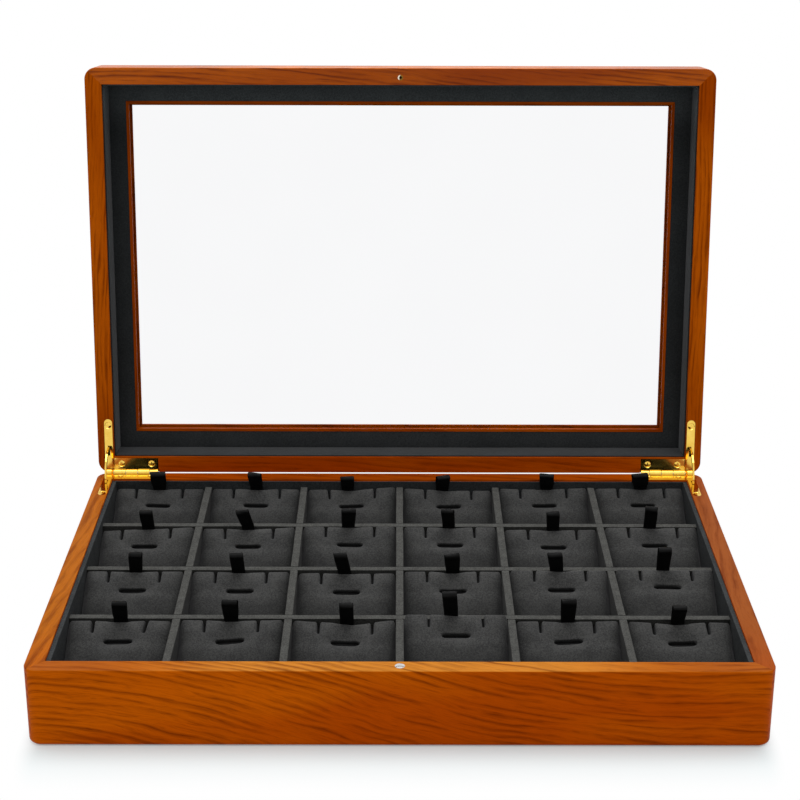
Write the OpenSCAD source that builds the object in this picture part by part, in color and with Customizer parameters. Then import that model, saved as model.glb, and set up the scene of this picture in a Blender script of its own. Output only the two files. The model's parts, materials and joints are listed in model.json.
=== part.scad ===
// A hinged wooden display box, shown open. The glazed lid stands just past upright on two
// quadrant stay hinges, and the base is divided into a grid of cells. Each cell holds a loose,
// sloped, fabric-covered pad with a ring slot, two chain notches and a ribbon pull.
// Millimetres. X is across the box, Y goes from the front to the back and Z is up.
// The origin is at the middle of the underside of the base.

/* [Box] */
// Width of the box, outside
box_w = 350; // [300:1:420]
// Depth of the box, outside, front to back
box_d = 232; // [190:1:280]
// Height of the base, from its underside to its rim
base_h = 40; // [36:0.5:60]
// Thickness of the wooden rails
rail_t = 9.2; // [9:0.1:13]
// Radius of the upright outer corners
corner_r = 6.5; // [4.5:0.1:9]
// Rounding of the edges under the base and on top of the lid
edge_r = 2; // [0.5:0.1:3]
// Rounding of the edges where the base and the lid meet
rim_r = 0.5; // [0.3:0.1:2]

/* [Bottom] */
// Thickness of the bottom panel
panel_t = 4; // [3:0.1:6]
// How far the bottom panel is let into each rail
panel_let_in = 4.5; // [2:0.1:6]
// Thickness of the felt under the bottom panel
felt_t = 1.2; // [0.8:0.1:2.5]
// Thickness of the lined board on the floor of the base
floor_t = 1.5; // [1:0.1:3]

/* [Lid] */
// Height of the lid, from its rim to its top
lid_h = 27; // [23:0.5:32]
// Thickness of the frame round the window
frame_t = 6; // [5.5:0.1:8]
// Gap between the two rims when the lid is closed
lid_gap = 0.4; // [0.4:0.1:1.2]
// Angle of the open lid, from closed
open_angle = 97.5; // [90:0.5:105]
// Distance from the side of the lid to the edge of the border lining
border_in = 19.7; // [17:0.1:30]
// Width of the bead that shows inside the border lining
bead_lip = 1.5; // [1:0.1:4]
// How far the lip over the glass stops short of the bead's inner edge
lip_step = 1.1; // [0:0.1:2]
// How far the bead stands proud of the border lining
bead_proud = 0.2; // [0:0.1:1]
// Thickness of the window glass
glass_t = 2.5; // [2:0.1:3]
// Thickness of the wooden lip over the glass
glass_lip_t = 1.5; // [1:0.1:2.5]
// How far the glass reaches past the window on each side
glass_let_in = 4.3; // [2.5:0.1:6]

/* [Lining] */
// Thickness of the lined boards on the side walls of the base
side_lining_t = 2.4; // [0.6:0.1:3]
// Thickness of the lined boards on the front and rear walls of the base
end_lining_t = 0.8; // [0.6:0.1:3]
// Distance from the base's rim down to its wall lining
lining_drop = 1; // [0.5:0.1:3]
// Thickness of the lined boards on the walls of the lid
lid_lining_t = 0.8; // [0.6:0.1:3]
// Distance from the lid's rim in to its wall lining
lid_lining_drop = 2; // [0.3:0.1:3]
// Thickness of the lining on the inside of the window frame
border_lining_t = 1; // [0.6:0.1:2]

/* [Cells] */
// Number of cells across the box
columns = 6; // [4:1:7]
// Number of cells from front to back
rows = 4; // [3:1:5]
// Thickness of a covered divider
divider_t = 4; // [2.5:0.1:6]
// Distance from the base's rim down to the top of the dividers
divider_drop = 4.4; // [3:0.1:12]
// Rounding of a divider's top edges
divider_r = 1.2; // [0.4:0.1:1.2]

/* [Pads] */
// Space round a pad in its cell, and under it
pad_gap = 0.3; // [0.2:0.05:0.8]
// Height of a pad at its front edge
pad_front_h = 4; // [3:0.1:8]
// Distance from the top of the dividers down to a pad's rear edge
pad_drop = 0.2; // [-1:0.1:4]
// Height of a pad's crown over its edges
crown = 1; // [0.4:0.1:2]
// How far a pad's sides are drawn in between its corners
drawn_in = 0.4; // [0.1:0.05:1]
// Rounding of a pad's upper edges
pad_r = 1.5; // [0.6:0.1:2.2]
// Length of the ring slot
slot_l = 14.6; // [10:0.1:22]
// Width of the ring slot
slot_w = 3.6; // [2:0.1:4.5]
// Depth of the ring slot
slot_depth = 7; // [4:0.1:9]
// Distance down the slope from a pad's rear edge to the middle of the ring slot
slot_from_rear = 12.6; // [10:0.1:20]
// Distance between the two chain notches
notch_pitch = 26.6; // [16:0.1:36]
// Width of a chain notch
notch_w = 1.4; // [0.8:0.1:2]
// Length of a chain notch down the slope
notch_l = 7.8; // [4:0.1:9]
// Depth of a chain notch
notch_depth = 4; // [2:0.1:6]

/* [Ribbon pulls] */
// Width of a ribbon
ribbon_w = 7; // [5:0.1:10]
// Thickness of a ribbon
ribbon_t = 0.4; // [0.3:0.05:0.6]
// Height of a ribbon loop over the pad's rear edge
ribbon_rise = 12; // [7:0.1:14]
// Outer radius of the loop's round top
loop_r = 2.2; // [1.6:0.1:3]
// Length of ribbon that is glued down the back of a pad
ribbon_tail = 12; // [6:0.5:16]

/* [Hinges] */
// Distance from the back of the box out to the hinge axis
axis_out = 0.1; // [0:0.1:1.5]
// Outer radius of the knuckles
knuckle_r = 2; // [1.7:0.1:2.4]
// Radius of the hinge pin
pin_r = 0.8; // [0.6:0.05:1]
// Number of knuckles on a hinge
knuckles = 5; // [3:2:7]
// Length of each of the two end knuckles
end_knuckle_l = 5; // [4:0.1:7]
// Length of a hinge along the back rail
leaf_l = 30.7; // [27:0.1:40]
// Thickness of a hinge leaf
leaf_t = 1.2; // [1:0.1:1.6]
// Width of the arm of a leaf along the side rail
arm_w = 4.6; // [4.2:0.1:5]
// Length of the arm, from the hinge axis
arm_l = 31.8; // [27:0.1:40]
// Wood between the arm and the inside of the rail
arm_margin = 0.6; // [0.5:0.1:2]
// Middle radius of the stay bar
stay_r = 14.3; // [13:0.1:18]
// Width of the stay bar
stay_w = 2.4; // [1.8:0.1:3]
// Thickness of the stay bar
stay_t = 1; // [0.6:0.1:1.2]
// Width of the stop head on each end of the stay bar
head_w = 2.2; // [2:0.1:2.6]
// Angle that a stop head takes up
head_angle = 3.4; // [2.4:0.1:5]
// Radius of a hinge screw's head
screw_head_r = 1.75; // [1.4:0.05:1.9]
// Depth of the coned part of a hinge screw's head
screw_head_h = 0.85; // [0.6:0.05:0.9]
// Depth of the rim of a hinge screw's head under the leaf's face
screw_sunk = 0.2; // [0.1:0.05:0.3]
// Height of the dome of a hinge screw's head over the leaf's face
screw_proud = 0.1; // [0:0.05:0.15]
// Radius of a hinge screw's shank
screw_r = 0.9; // [0.6:0.05:1.1]
// Length of a hinge screw
screw_l = 8; // [6:0.5:9]

/* [Catch] */
// Radius of the catch magnet
magnet_r = 2.35; // [1.5:0.05:2.5]
// Length of the catch magnet
magnet_l = 5; // [3:0.5:8]
// Height of the magnet's dome over the rim
magnet_dome = 0.3; // [0.1:0.05:0.35]
// Radius of the strike screw's head
strike_head_r = 1.5; // [1.4:0.05:2.5]
// Depth of the strike screw's head
strike_head_h = 0.9; // [0.8:0.05:2]
// Radius of the strike screw's shank
strike_r = 1; // [0.7:0.05:1.3]
// Length of the strike screw
strike_l = 10; // [6:0.5:12]
// Distance from the front of the box back to the catch
catch_in = 5.2; // [3.5:0.1:6]

/* [Hidden] */
$fn = 48;
// Segments of a very large circle, so that it follows its true curve
FINE = 480;
// Play of a panel in its rabbet, of the glass in its frame and between lining boards
panel_play = 0.15;
glass_play = 0.15;
lining_play = 0.1;
// Play of one divider in another's slot
lap_play = 0.1;
// Play of a leaf in its recess, of a knuckle along the pin and of a pin in its bore
leaf_play = 0.05;
knuckle_play = 0.4;
pin_play = 0.05;
// Space round a turning knuckle, beside the stay bar and round its stop heads
knuckle_space = 0.3;
stay_play = 0.15;
pocket_space = 0.6;
// How far a stop head stands proud of the stay bar's edges
head_proud = 0.1;
// How far a leaf's slot runs on past the stay bar, towards the knuckles
slot_run = 3;
// Play of a screw, a strike screw or a magnet in its hole
screw_play = 0.02;
// Wood between the rear part of a leaf and the inside of the rail
leaf_margin = 0.7;
// Distance of the arm's screw from the arm's end
screw_tip = 3.7;
// Distance of the outer rear screw from the end of the leaf, and of the inner one
screw_in = 9.5;
screw_end = 3.9;
// Width, length and depth of a screw's cross slot, as shares of its head
cross_w_share = 0.28;
cross_l_share = 1.3;
cross_depth_share = 0.5;
// How far the hollow of a pad's side runs on past the pad's corners
hollow_past = 1;
// Play of a ribbon in its recess
ribbon_play = 0.05;
// Height over a pad's rear edge at which the two layers of a ribbon part
loop_start = 1.2;
// Cuts run past a face by this much
over = 1;

// Space inside the rails, and inside the wall lining of the base
inside_w = box_w - 2 * rail_t;
inside_d = box_d - 2 * rail_t;
lined_w = inside_w - 2 * side_lining_t;
lined_d = inside_d - 2 * end_lining_t;
// Heights in the base
panel_z = felt_t;
floor_z = panel_z + panel_t;
cell_z = floor_z + floor_t;
lining_top = base_h - lining_drop;
divider_top = base_h - divider_drop;
divider_h = divider_top - cell_z;
// Cells
cell_w = (lined_w - (columns - 1) * divider_t) / columns;
cell_d = (lined_d - (rows - 1) * divider_t) / rows;
// Pads
pad_w = cell_w - 2 * pad_gap;
pad_d = cell_d - 2 * pad_gap;
pad_z = cell_z + pad_gap;
pad_rear_h = divider_top - pad_drop - pad_z;
slope = atan((pad_rear_h - pad_front_h) / pad_d);
slope_l = pad_d / cos(slope);
crown_r = (pad_w * pad_w / 4 + crown * crown) / (2 * crown);
// Hinge
axis_y = box_d / 2 + axis_out;
axis_z = base_h + lid_gap / 2;
arm_outer = rail_t - arm_margin - arm_w;
rear_leaf_d = axis_out + rail_t - leaf_margin;
segment = (leaf_l - 2 * end_knuckle_l) / (knuckles - 2);
stay_in = stay_r - stay_w / 2;
stay_out = stay_r + stay_w / 2;
// A stop head just clears the underside of its leaf when the lid is open
stop_angle = asin((lid_gap / 2 + leaf_t + stay_play) / (stay_in - head_proud));
stay_tail = stop_angle + head_angle;
stay_half = open_angle / 2 + stay_tail;
rear_screw_y = (knuckle_r + rear_leaf_d) / 2;
// Lid, in its closed place
lid_z = base_h + lid_gap;
lid_top = lid_z + lid_h;
frame_z = lid_top - frame_t;
glass_z = lid_top - glass_lip_t - glass_t;
border_z = frame_z - border_lining_t;
window_in = border_in + bead_lip;
lip_in = window_in + lip_step;
glass_in = window_in - glass_let_in;

function pad_name(row, column) = str("pad_r", row, "c", column);
function cross_name(i) = str("cross_divider_", i);
function long_name(i) = str("long_divider_", i);
// Middle of a column of cells, and of a row of cells counted from the back
function column_x(i) = -lined_w / 2 + cell_w / 2 + (i - 1) * (cell_w + divider_t);
function row_y(i) = lined_d / 2 - cell_d / 2 - (i - 1) * (cell_d + divider_t);

WOOD = [0.62, 0.27, 0.05];
RIM_WOOD = [0.55, 0.22, 0.04];
LINING = [0.16, 0.16, 0.17];
DIVIDER = [0.3, 0.3, 0.31];
PAD = [0.22, 0.22, 0.23];
RIBBON = [0.03, 0.03, 0.04];
BRASS = [0.85, 0.66, 0.25];
STEEL = [0.75, 0.75, 0.77];
GLASS = [0.85, 0.92, 0.92, 0.3];

// The outer form of the base or the lid: round upright corners and long edges that are
// softened by one radius below and another above
module outer_form(h, low_r, high_r) {
    translate([0, box_d / 2 - corner_r, 0]) rotate([90, 0, 0])
        linear_extrude(box_d - 2 * corner_r) soft_section(box_w, h, low_r, high_r);
    translate([-box_w / 2 + corner_r, 0, 0]) rotate([90, 0, 90])
        linear_extrude(box_w - 2 * corner_r) soft_section(box_d, h, low_r, high_r);
    for (x = [-1, 1], y = [-1, 1])
        translate([x * (box_w / 2 - corner_r), y * (box_d / 2 - corner_r), 0])
            rotate_extrude() intersection() {
                soft_section(2 * corner_r, h, low_r, high_r);
                square([corner_r, h]);
            }
}

// An upright section that stands on the X axis, with its four corners round
module soft_section(w, h, low_r, high_r) {
    translate([-w / 2, low_r]) square([w, h - low_r - high_r]);
    translate([-w / 2 + low_r, 0]) square([w - 2 * low_r, h / 2]);
    translate([-w / 2 + high_r, h / 2]) square([w - 2 * high_r, h / 2]);
    for (x = [-1, 1]) {
        translate([x * (w / 2 - low_r), low_r]) circle(low_r);
        translate([x * (w / 2 - high_r), h - high_r]) circle(high_r);
    }
}

// A box about the Z axis, from one height to another
module block(w, d, low, high) {
    translate([-w / 2, -d / 2, low]) cube([w, d, high - low]);
}

// The part of the box that one mitred rail takes up, as a prism between two mitre planes.
// The side is "front", "rear", "left" or "right".
module mitre_wedge(side, h) {
    reach = 2 * rail_t;
    turned = (side == "rear") ? 180 : (side == "left") ? -90 : (side == "right") ? 90 : 0;
    across = (side == "front" || side == "rear") ? box_w : box_d;
    along = (side == "front" || side == "rear") ? box_d : box_w;
    rotate([0, 0, turned]) translate([0, 0, -over]) linear_extrude(h + 2 * over)
        polygon([
            [-across / 2 - over, -along / 2 - over],
            [across / 2 + over, -along / 2 - over],
            [across / 2 - reach, -along / 2 + reach],
            [-across / 2 + reach, -along / 2 + reach]
        ]);
}

// Puts a piece that is made for the left side on the named side
module on_side(side) {
    if (side == "left") children();
    if (side == "right") mirror([1, 0, 0]) children();
}

// Hinge space: X runs inward from the arm's outer edge, Y is 0 at the hinge axis and falls
// towards the front, and Z is 0 at the axis.
module at_hinge() {
    translate([-box_w / 2 + arm_outer, axis_y, axis_z]) children();
}

// Turns a piece of the closed lid about the hinge axis to its open place
module opened() {
    translate([0, axis_y, axis_z]) rotate([-open_angle, 0, 0])
        translate([0, -axis_y, -axis_z]) children();
}

// Outline of a leaf in hinge space, grown by a play on every side but the axis
module leaf_plan(play) {
    end_y = -(arm_l - arm_w / 2);
    translate([-play, end_y]) square([arm_w + 2 * play, -end_y]);
    translate([arm_w / 2, end_y]) circle(arm_w / 2 + play);
    translate([-play, -rear_leaf_d - play]) square([leaf_l + 2 * play, rear_leaf_d + play]);
}

// Places of the three screws of a leaf
function screw_places() = [
    [arm_w / 2, -(arm_l - screw_tip)],
    [screw_in, -rear_screw_y],
    [leaf_l - screw_end, -rear_screw_y]
];

// A screw in a face on Z = 0, with its shank down. The rim of its head is sunk under the
// face, and its dome stands proud of it.
module screw(head_r, head_h, shank_r, length, sunk, proud) {
    cross_w = head_r * cross_w_share;
    cross_l = head_r * cross_l_share;
    cross_depth = head_h * cross_depth_share;
    neck_z = -sunk - head_h;
    difference() {
        union() {
            translate([0, 0, neck_z]) cylinder(h = head_h, r1 = shank_r, r2 = head_r);
            translate([0, 0, -length]) cylinder(h = length + neck_z + 0.01, r = shank_r);
            if (sunk + proud > 0)
                translate([0, 0, -sunk]) dome(head_r, sunk + proud, 0.01);
        }
        translate([-cross_l / 2, -cross_w / 2, proud - cross_depth])
            cube([cross_l, cross_w, cross_depth + over]);
        translate([-cross_w / 2, -cross_l / 2, proud - cross_depth])
            cube([cross_w, cross_l, cross_depth + over]);
    }
}

// A round cap on Z = 0 with a short foot under it
module dome(r, h, foot) {
    ball_r = (r * r + h * h) / (2 * h);
    intersection() {
        translate([0, 0, -foot]) cylinder(h = h + foot, r = r - foot);
        translate([0, 0, h - ball_r]) sphere(ball_r);
    }
}

// The hole that such a screw sits in, open upwards
module screw_hole(head_r, head_h, shank_r, length, sunk) {
    translate([0, 0, -sunk - head_h])
        cylinder(h = head_h + sunk, r1 = shank_r + screw_play, r2 = head_r + sunk + screw_play);
    cylinder(h = over, r = head_r + sunk + screw_play);
    translate([0, 0, -length - screw_play])
        cylinder(h = length, r = shank_r + screw_play);
}

// Turns base-side hinge work over for the lid side
module for_lid(is_lid) {
    if (is_lid) mirror([0, 0, 1]) children();
    else children();
}

// Everything that a hinge needs cut out of the rails, for the base; turned over for the lid
module hinge_cuts() {
    surface_z = -lid_gap / 2;
    head_space = head_w / 2 + stay_play;
    pocket_near = stay_in * cos(stay_half) - pocket_space;
    pocket_far = stay_out + pocket_space;
    pocket_deep = stay_out * sin(stay_half) + pocket_space;
    translate([0, 0, surface_z - leaf_t]) linear_extrude(leaf_t + over) leaf_plan(leaf_play);
    translate([-knuckle_play, 0, 0]) rotate([0, 90, 0])
        cylinder(h = leaf_l + 2 * knuckle_play, r = knuckle_r + knuckle_space);
    translate([arm_w / 2 - head_space, -pocket_far, surface_z - pocket_deep])
        cube([2 * head_space, pocket_far - pocket_near, pocket_deep]);
    for (p = screw_places())
        translate([p[0], p[1], surface_z])
            translate([0, 0, -screw_l - screw_play]) cylinder(h = screw_l, r = screw_r + screw_play);
}

// Distance of a knuckle's start from the end of the hinge, counted from 0
function knuckle_from(i) =
    (i == 0) ? 0 : (i >= knuckles) ? leaf_l : end_knuckle_l + (i - 1) * segment;

// One leaf, for the base. The odd knuckles belong to the base and the even ones to the lid.
module leaf(own_first) {
    surface_z = -lid_gap / 2;
    slot_wide = stay_t + 2 * stay_play;
    slot_far = stay_out + pocket_space;
    slot_near = stay_in - slot_run;
    difference() {
        union() {
            translate([0, 0, surface_z - leaf_t]) linear_extrude(leaf_t) leaf_plan(0);
            for (i = [own_first:2:knuckles - 1])
                translate([knuckle_from(i) + knuckle_play / 2, 0, 0]) rotate([0, 90, 0])
                    cylinder(h = knuckle_from(i + 1) - knuckle_from(i) - knuckle_play, r = knuckle_r);
        }
        for (i = [1 - own_first:2:knuckles - 1])
            translate([knuckle_from(i), 0, 0]) rotate([0, 90, 0])
                cylinder(h = knuckle_from(i + 1) - knuckle_from(i), r = knuckle_r + knuckle_space);
        translate([-over, 0, 0]) rotate([0, 90, 0])
            cylinder(h = leaf_l + 2 * over, r = pin_r + pin_play);
        translate([arm_w / 2 - slot_wide / 2, -slot_far, surface_z - leaf_t - over])
            cube([slot_wide, slot_far - slot_near, leaf_t + 2 * over]);
        for (p = screw_places())
            translate([p[0], p[1], surface_z])
                screw_hole(screw_head_r, screw_head_h, screw_r, screw_l, screw_sunk);
    }
}

module lid_leaf(side) {
    color(BRASS) opened() on_side(side) at_hinge() for_lid(true) leaf(1);
}

module base_leaf(side) {
    color(BRASS) on_side(side) at_hinge() leaf(0);
}

// The curved stay bar with a stop head on each end. It slides in both leaves, and its middle
// stays halfway between them.
module stay(side) {
    color(BRASS) on_side(side) at_hinge() translate([arm_w / 2, 0, 0])
        rotate([90, 0, 90]) rotate([0, 0, 180 - open_angle - stay_tail]) {
            rotate([0, 0, head_angle / 2]) rotate_extrude(angle = 2 * stay_half - head_angle)
                translate([stay_in, -stay_t / 2]) square([stay_w, stay_t]);
            for (a = [0, 2 * stay_half - head_angle])
                rotate([0, 0, a]) rotate_extrude(angle = head_angle)
                    translate([stay_in - head_proud, -head_w / 2])
                        square([stay_w + 2 * head_proud, head_w]);
        }
}

module hinge_pins() {
    color(STEEL) for (side = ["left", "right"])
        on_side(side) at_hinge() rotate([0, 90, 0]) cylinder(h = leaf_l, r = pin_r);
}

module leaf_screws() {
    for (side = ["left", "right"])
        on_side(side) at_hinge() for (p = screw_places())
            translate([p[0], p[1], -lid_gap / 2])
                screw(screw_head_r, screw_head_h, screw_r, screw_l, screw_sunk, screw_proud);
}

module base_screws() {
    color(BRASS) leaf_screws();
}

module lid_screws() {
    color(BRASS) opened() translate([0, 0, 2 * axis_z]) mirror([0, 0, 1]) leaf_screws();
}

// Base
module base_rail(side) {
    panel_w = inside_w + 2 * (panel_let_in + panel_play);
    panel_d = inside_d + 2 * (panel_let_in + panel_play);
    color(WOOD) difference() {
        intersection() {
            outer_form(base_h, edge_r, rim_r);
            mitre_wedge(side, base_h);
        }
        block(inside_w, inside_d, -over, base_h + over);
        block(panel_w, panel_d, -over, floor_z);
        for (hinge = ["left", "right"])
            on_side(hinge) at_hinge() hinge_cuts();
        translate([0, -box_d / 2 + catch_in, base_h - magnet_l - screw_play])
            cylinder(h = magnet_l + over, r = magnet_r + screw_play);
    }
}

module bottom_panel() {
    color(RIM_WOOD)
        block(inside_w + 2 * panel_let_in, inside_d + 2 * panel_let_in, panel_z, floor_z);
}

module underside_felt() {
    color(RIBBON)
        block(inside_w + 2 * panel_let_in, inside_d + 2 * panel_let_in, 0, panel_z);
}

module floor_lining() {
    color(LINING) block(inside_w, inside_d, floor_z, cell_z);
}

// Four boards that line a space of one size, each its own solid
module wall_boards(w, d, side_t, end_t, low, high) {
    for (y = [-1, 1])
        translate([0, y * (d - end_t) / 2, 0]) block(w, end_t, low, high);
    for (x = [-1, 1])
        translate([x * (w - side_t) / 2, 0, 0])
            block(side_t, d - 2 * (end_t + lining_play), low, high);
}

module base_wall_linings() {
    color(LINING)
        wall_boards(inside_w, inside_d, side_lining_t, end_lining_t, cell_z, lining_top);
}

// Cross-section of a divider, standing on the X axis
module divider_profile() {
    translate([-divider_t / 2, 0]) square([divider_t, divider_h - divider_r]);
    translate([-divider_t / 2 + divider_r, 0]) square([divider_t - 2 * divider_r, divider_h]);
    for (x = [-1, 1])
        translate([x * (divider_t / 2 - divider_r), divider_h - divider_r]) circle(divider_r);
}

// A divider from front to back. Its upper half is slotted for the long dividers.
module cross_divider(i) {
    slot = divider_t + lap_play;
    color(DIVIDER) difference() {
        translate([column_x(i) + cell_w / 2 + divider_t / 2, lined_d / 2, cell_z])
            rotate([90, 0, 0]) linear_extrude(lined_d) divider_profile();
        for (j = [1:rows - 1])
            translate([0, row_y(j) - cell_d / 2 - divider_t / 2, 0])
                block(box_w, slot, cell_z + divider_h / 2 - lap_play / 2, base_h);
    }
}

// A divider from side to side. Its lower half is slotted for the cross dividers.
module long_divider(j) {
    slot = divider_t + lap_play;
    color(DIVIDER) difference() {
        translate([-lined_w / 2, row_y(j) - cell_d / 2 - divider_t / 2, cell_z])
            rotate([90, 0, 90]) linear_extrude(lined_w) divider_profile();
        for (i = [1:columns - 1])
            translate([column_x(i) + cell_w / 2 + divider_t / 2, 0, 0])
                block(slot, box_d, 0, cell_z + divider_h / 2);
    }
}

// Pads. In a pad's own space X is 0 at its middle, Y is 0 at its front and Z is 0 under it.
// On the slope, Y runs up the slope from its front edge and Z is square to it.
module on_slope() {
    translate([0, 0, pad_front_h]) rotate([slope, 0, 0]) children();
}

// Side profile of a pad, with a round front edge and a round rear edge
module pad_profile() {
    front_z = pad_front_h + pad_r * tan(slope) - pad_r / cos(slope);
    rear_y = pad_d - pad_r;
    rear_z = pad_front_h + rear_y * tan(slope) - pad_r / cos(slope);
    up_y = -pad_r * sin(slope);
    up_z = pad_r * cos(slope);
    polygon([
        [0, 0], [pad_d, 0], [pad_d, rear_z], [rear_y, rear_z],
        [rear_y + up_y, rear_z + up_z], [pad_r + up_y, front_z + up_z],
        [pad_r, front_z], [0, front_z]
    ]);
    translate([pad_r, front_z]) circle(pad_r);
    translate([rear_y, rear_z]) circle(pad_r);
}

// Section across the slope, with its top on the X axis and its upper edges round
module pad_section(deep) {
    translate([-pad_w / 2, -deep]) square([pad_w, deep - pad_r]);
    translate([-pad_w / 2 + pad_r, -deep]) square([pad_w - 2 * pad_r, deep]);
    for (x = [-1, 1])
        translate([x * (pad_w / 2 - pad_r), -pad_r]) circle(pad_r);
}

// A slender vertical lens cut from one side of a pad, deepest at the middle of the side
module side_hollow(chord, out) {
    r = (chord * chord / 4 + drawn_in * drawn_in) / (2 * drawn_in);
    translate([out + r - drawn_in, 0, -over])
        cylinder(h = pad_rear_h + 2 * over, r = r, $fn = FINE);
}

module pad_body() {
    deep = pad_rear_h + pad_d;
    difference() {
        intersection() {
            translate([-pad_w / 2, 0, 0]) rotate([90, 0, 90]) linear_extrude(pad_w) pad_profile();
            on_slope() translate([0, slope_l + pad_d / 2, 0]) rotate([90, 0, 0])
                linear_extrude(slope_l + pad_d) pad_section(deep);
            on_slope() translate([0, slope_l / 2, -crown_r]) sphere(crown_r, $fn = FINE);
        }
        for (turn = [0, 180])
            translate([0, pad_d / 2, 0]) rotate([0, 0, turn])
                side_hollow(pad_d + 2 * hollow_past, pad_w / 2);
        for (turn = [90, -90])
            translate([0, pad_d / 2, 0]) rotate([0, 0, turn])
                side_hollow(pad_w + 2 * hollow_past, pad_d / 2);
        on_slope() translate([0, slope_l - slot_from_rear, -slot_depth]) linear_extrude(slot_depth + over)
            ring_slot();
        on_slope() for (x = [-1, 1])
            translate([x * notch_pitch / 2 - notch_w / 2, slope_l - notch_l, -notch_depth])
                cube([notch_w, notch_l + pad_rear_h, notch_depth + over]);
        ribbon_recess();
    }
}

module ring_slot() {
    square([slot_l - slot_w, slot_w], center = true);
    for (x = [-1, 1])
        translate([x * (slot_l - slot_w) / 2, 0]) circle(slot_w / 2);
}

// The ribbon's two glued layers, a play and the drawn-in side set the recess's depth
module ribbon_recess() {
    deep = drawn_in + 2 * ribbon_t + 2 * ribbon_play;
    wide = ribbon_w + 2 * ribbon_play;
    translate([-wide / 2, pad_d - deep, pad_rear_h - ribbon_tail - ribbon_play])
        cube([wide, deep + over, ribbon_tail + over + ribbon_play]);
}

// Point where a line from p touches a circle, on the side given by 1 or -1
function touch(p, centre, r, way) =
    let (
        d = centre - p,
        long = norm(d),
        a = atan2(d[1], d[0]) + way * asin(r / long)
    )
    p + sqrt(long * long - r * r) * [cos(a), sin(a)];

// Side view of a ribbon: two layers up from the tail, which part into a loop that leans
// forward over the pad, clear of the lid's lining when the lid is closed
module ribbon_profile() {
    root = [pad_d - drawn_in - ribbon_t - ribbon_play, pad_rear_h + loop_start];
    left = root - [ribbon_t, 0];
    right = root + [ribbon_t, 0];
    centre = [root[0] - loop_r + ribbon_t, pad_rear_h + ribbon_rise - loop_r];
    translate([left[0], pad_rear_h - ribbon_tail]) square([2 * ribbon_t, ribbon_tail + loop_start]);
    difference() {
        union() {
            translate(centre) circle(loop_r);
            polygon([left, right, touch(right, centre, loop_r, -1), centre,
                touch(left, centre, loop_r, 1)]);
        }
        translate(centre) circle(loop_r - ribbon_t);
        polygon([root, touch(root, centre, loop_r - ribbon_t, -1), centre,
            touch(root, centre, loop_r - ribbon_t, 1)]);
    }
}

module pad(r, c) {
    translate([column_x(c), row_y(r) - pad_d / 2, pad_z]) {
        color(PAD) pad_body();
        color(RIBBON) translate([-ribbon_w / 2, 0, 0]) rotate([90, 0, 90])
            linear_extrude(ribbon_w) ribbon_profile();
    }
}

// Lid, made in its closed place and then opened
module lid_form() {
    translate([0, 0, lid_z]) outer_form(lid_h, rim_r, edge_r);
}

module lid_rail(side) {
    color(RIM_WOOD) opened() difference() {
        intersection() {
            lid_form();
            translate([0, 0, lid_z]) mitre_wedge(side, lid_h);
            block(box_w, box_d, lid_z - over, frame_z);
        }
        block(inside_w, inside_d, lid_z - over, lid_top + over);
        for (hinge = ["left", "right"])
            on_side(hinge) at_hinge() for_lid(true) hinge_cuts();
        translate([0, -box_d / 2 + catch_in, lid_z]) mirror([0, 0, 1])
            screw_hole(strike_head_r, strike_head_h, strike_r, strike_l, 0);
    }
}

module lid_top_frame() {
    color(WOOD) opened() difference() {
        intersection() {
            lid_form();
            block(box_w, box_d, frame_z, lid_top + over);
        }
        block(box_w - 2 * lip_in, box_d - 2 * lip_in, lid_z, lid_top + over);
        block(box_w - 2 * (glass_in - glass_play), box_d - 2 * (glass_in - glass_play),
            lid_z, glass_z + glass_t);
    }
}

module window_glass() {
    color(GLASS) opened()
        block(box_w - 2 * glass_in, box_d - 2 * glass_in, glass_z, glass_z + glass_t);
}

// The rebated bead that holds the glass. Its lip shows inside the border lining.
module glass_bead() {
    color(WOOD) opened() difference() {
        union() {
            block(box_w - 2 * glass_in, box_d - 2 * glass_in, frame_z, glass_z);
            block(box_w - 2 * border_in, box_d - 2 * border_in, border_z - bead_proud, glass_z);
        }
        block(box_w - 2 * window_in, box_d - 2 * window_in, lid_z, lid_top);
    }
}

module lid_wall_linings() {
    color(LINING) opened()
        wall_boards(inside_w, inside_d, lid_lining_t, lid_lining_t,
            lid_z + lid_lining_drop, border_z);
}

module lid_border_lining() {
    color(LINING) opened() difference() {
        block(inside_w, inside_d, border_z, frame_z);
        block(box_w - 2 * border_in, box_d - 2 * border_in, lid_z, lid_top);
    }
}

// Catch
module catch_magnet() {
    dome_r = (magnet_r * magnet_r + magnet_dome * magnet_dome) / (2 * magnet_dome);
    color(STEEL) translate([0, -box_d / 2 + catch_in, base_h]) intersection() {
        translate([0, 0, -magnet_l]) cylinder(h = magnet_l + magnet_dome, r = magnet_r);
        translate([0, 0, magnet_dome - dome_r]) sphere(dome_r, $fn = FINE);
    }
}

module strike_screw() {
    color(BRASS) opened() translate([0, -box_d / 2 + catch_in, lid_z]) mirror([0, 0, 1])
        screw(strike_head_r, strike_head_h, strike_r, strike_l, 0, 0);
}

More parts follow.
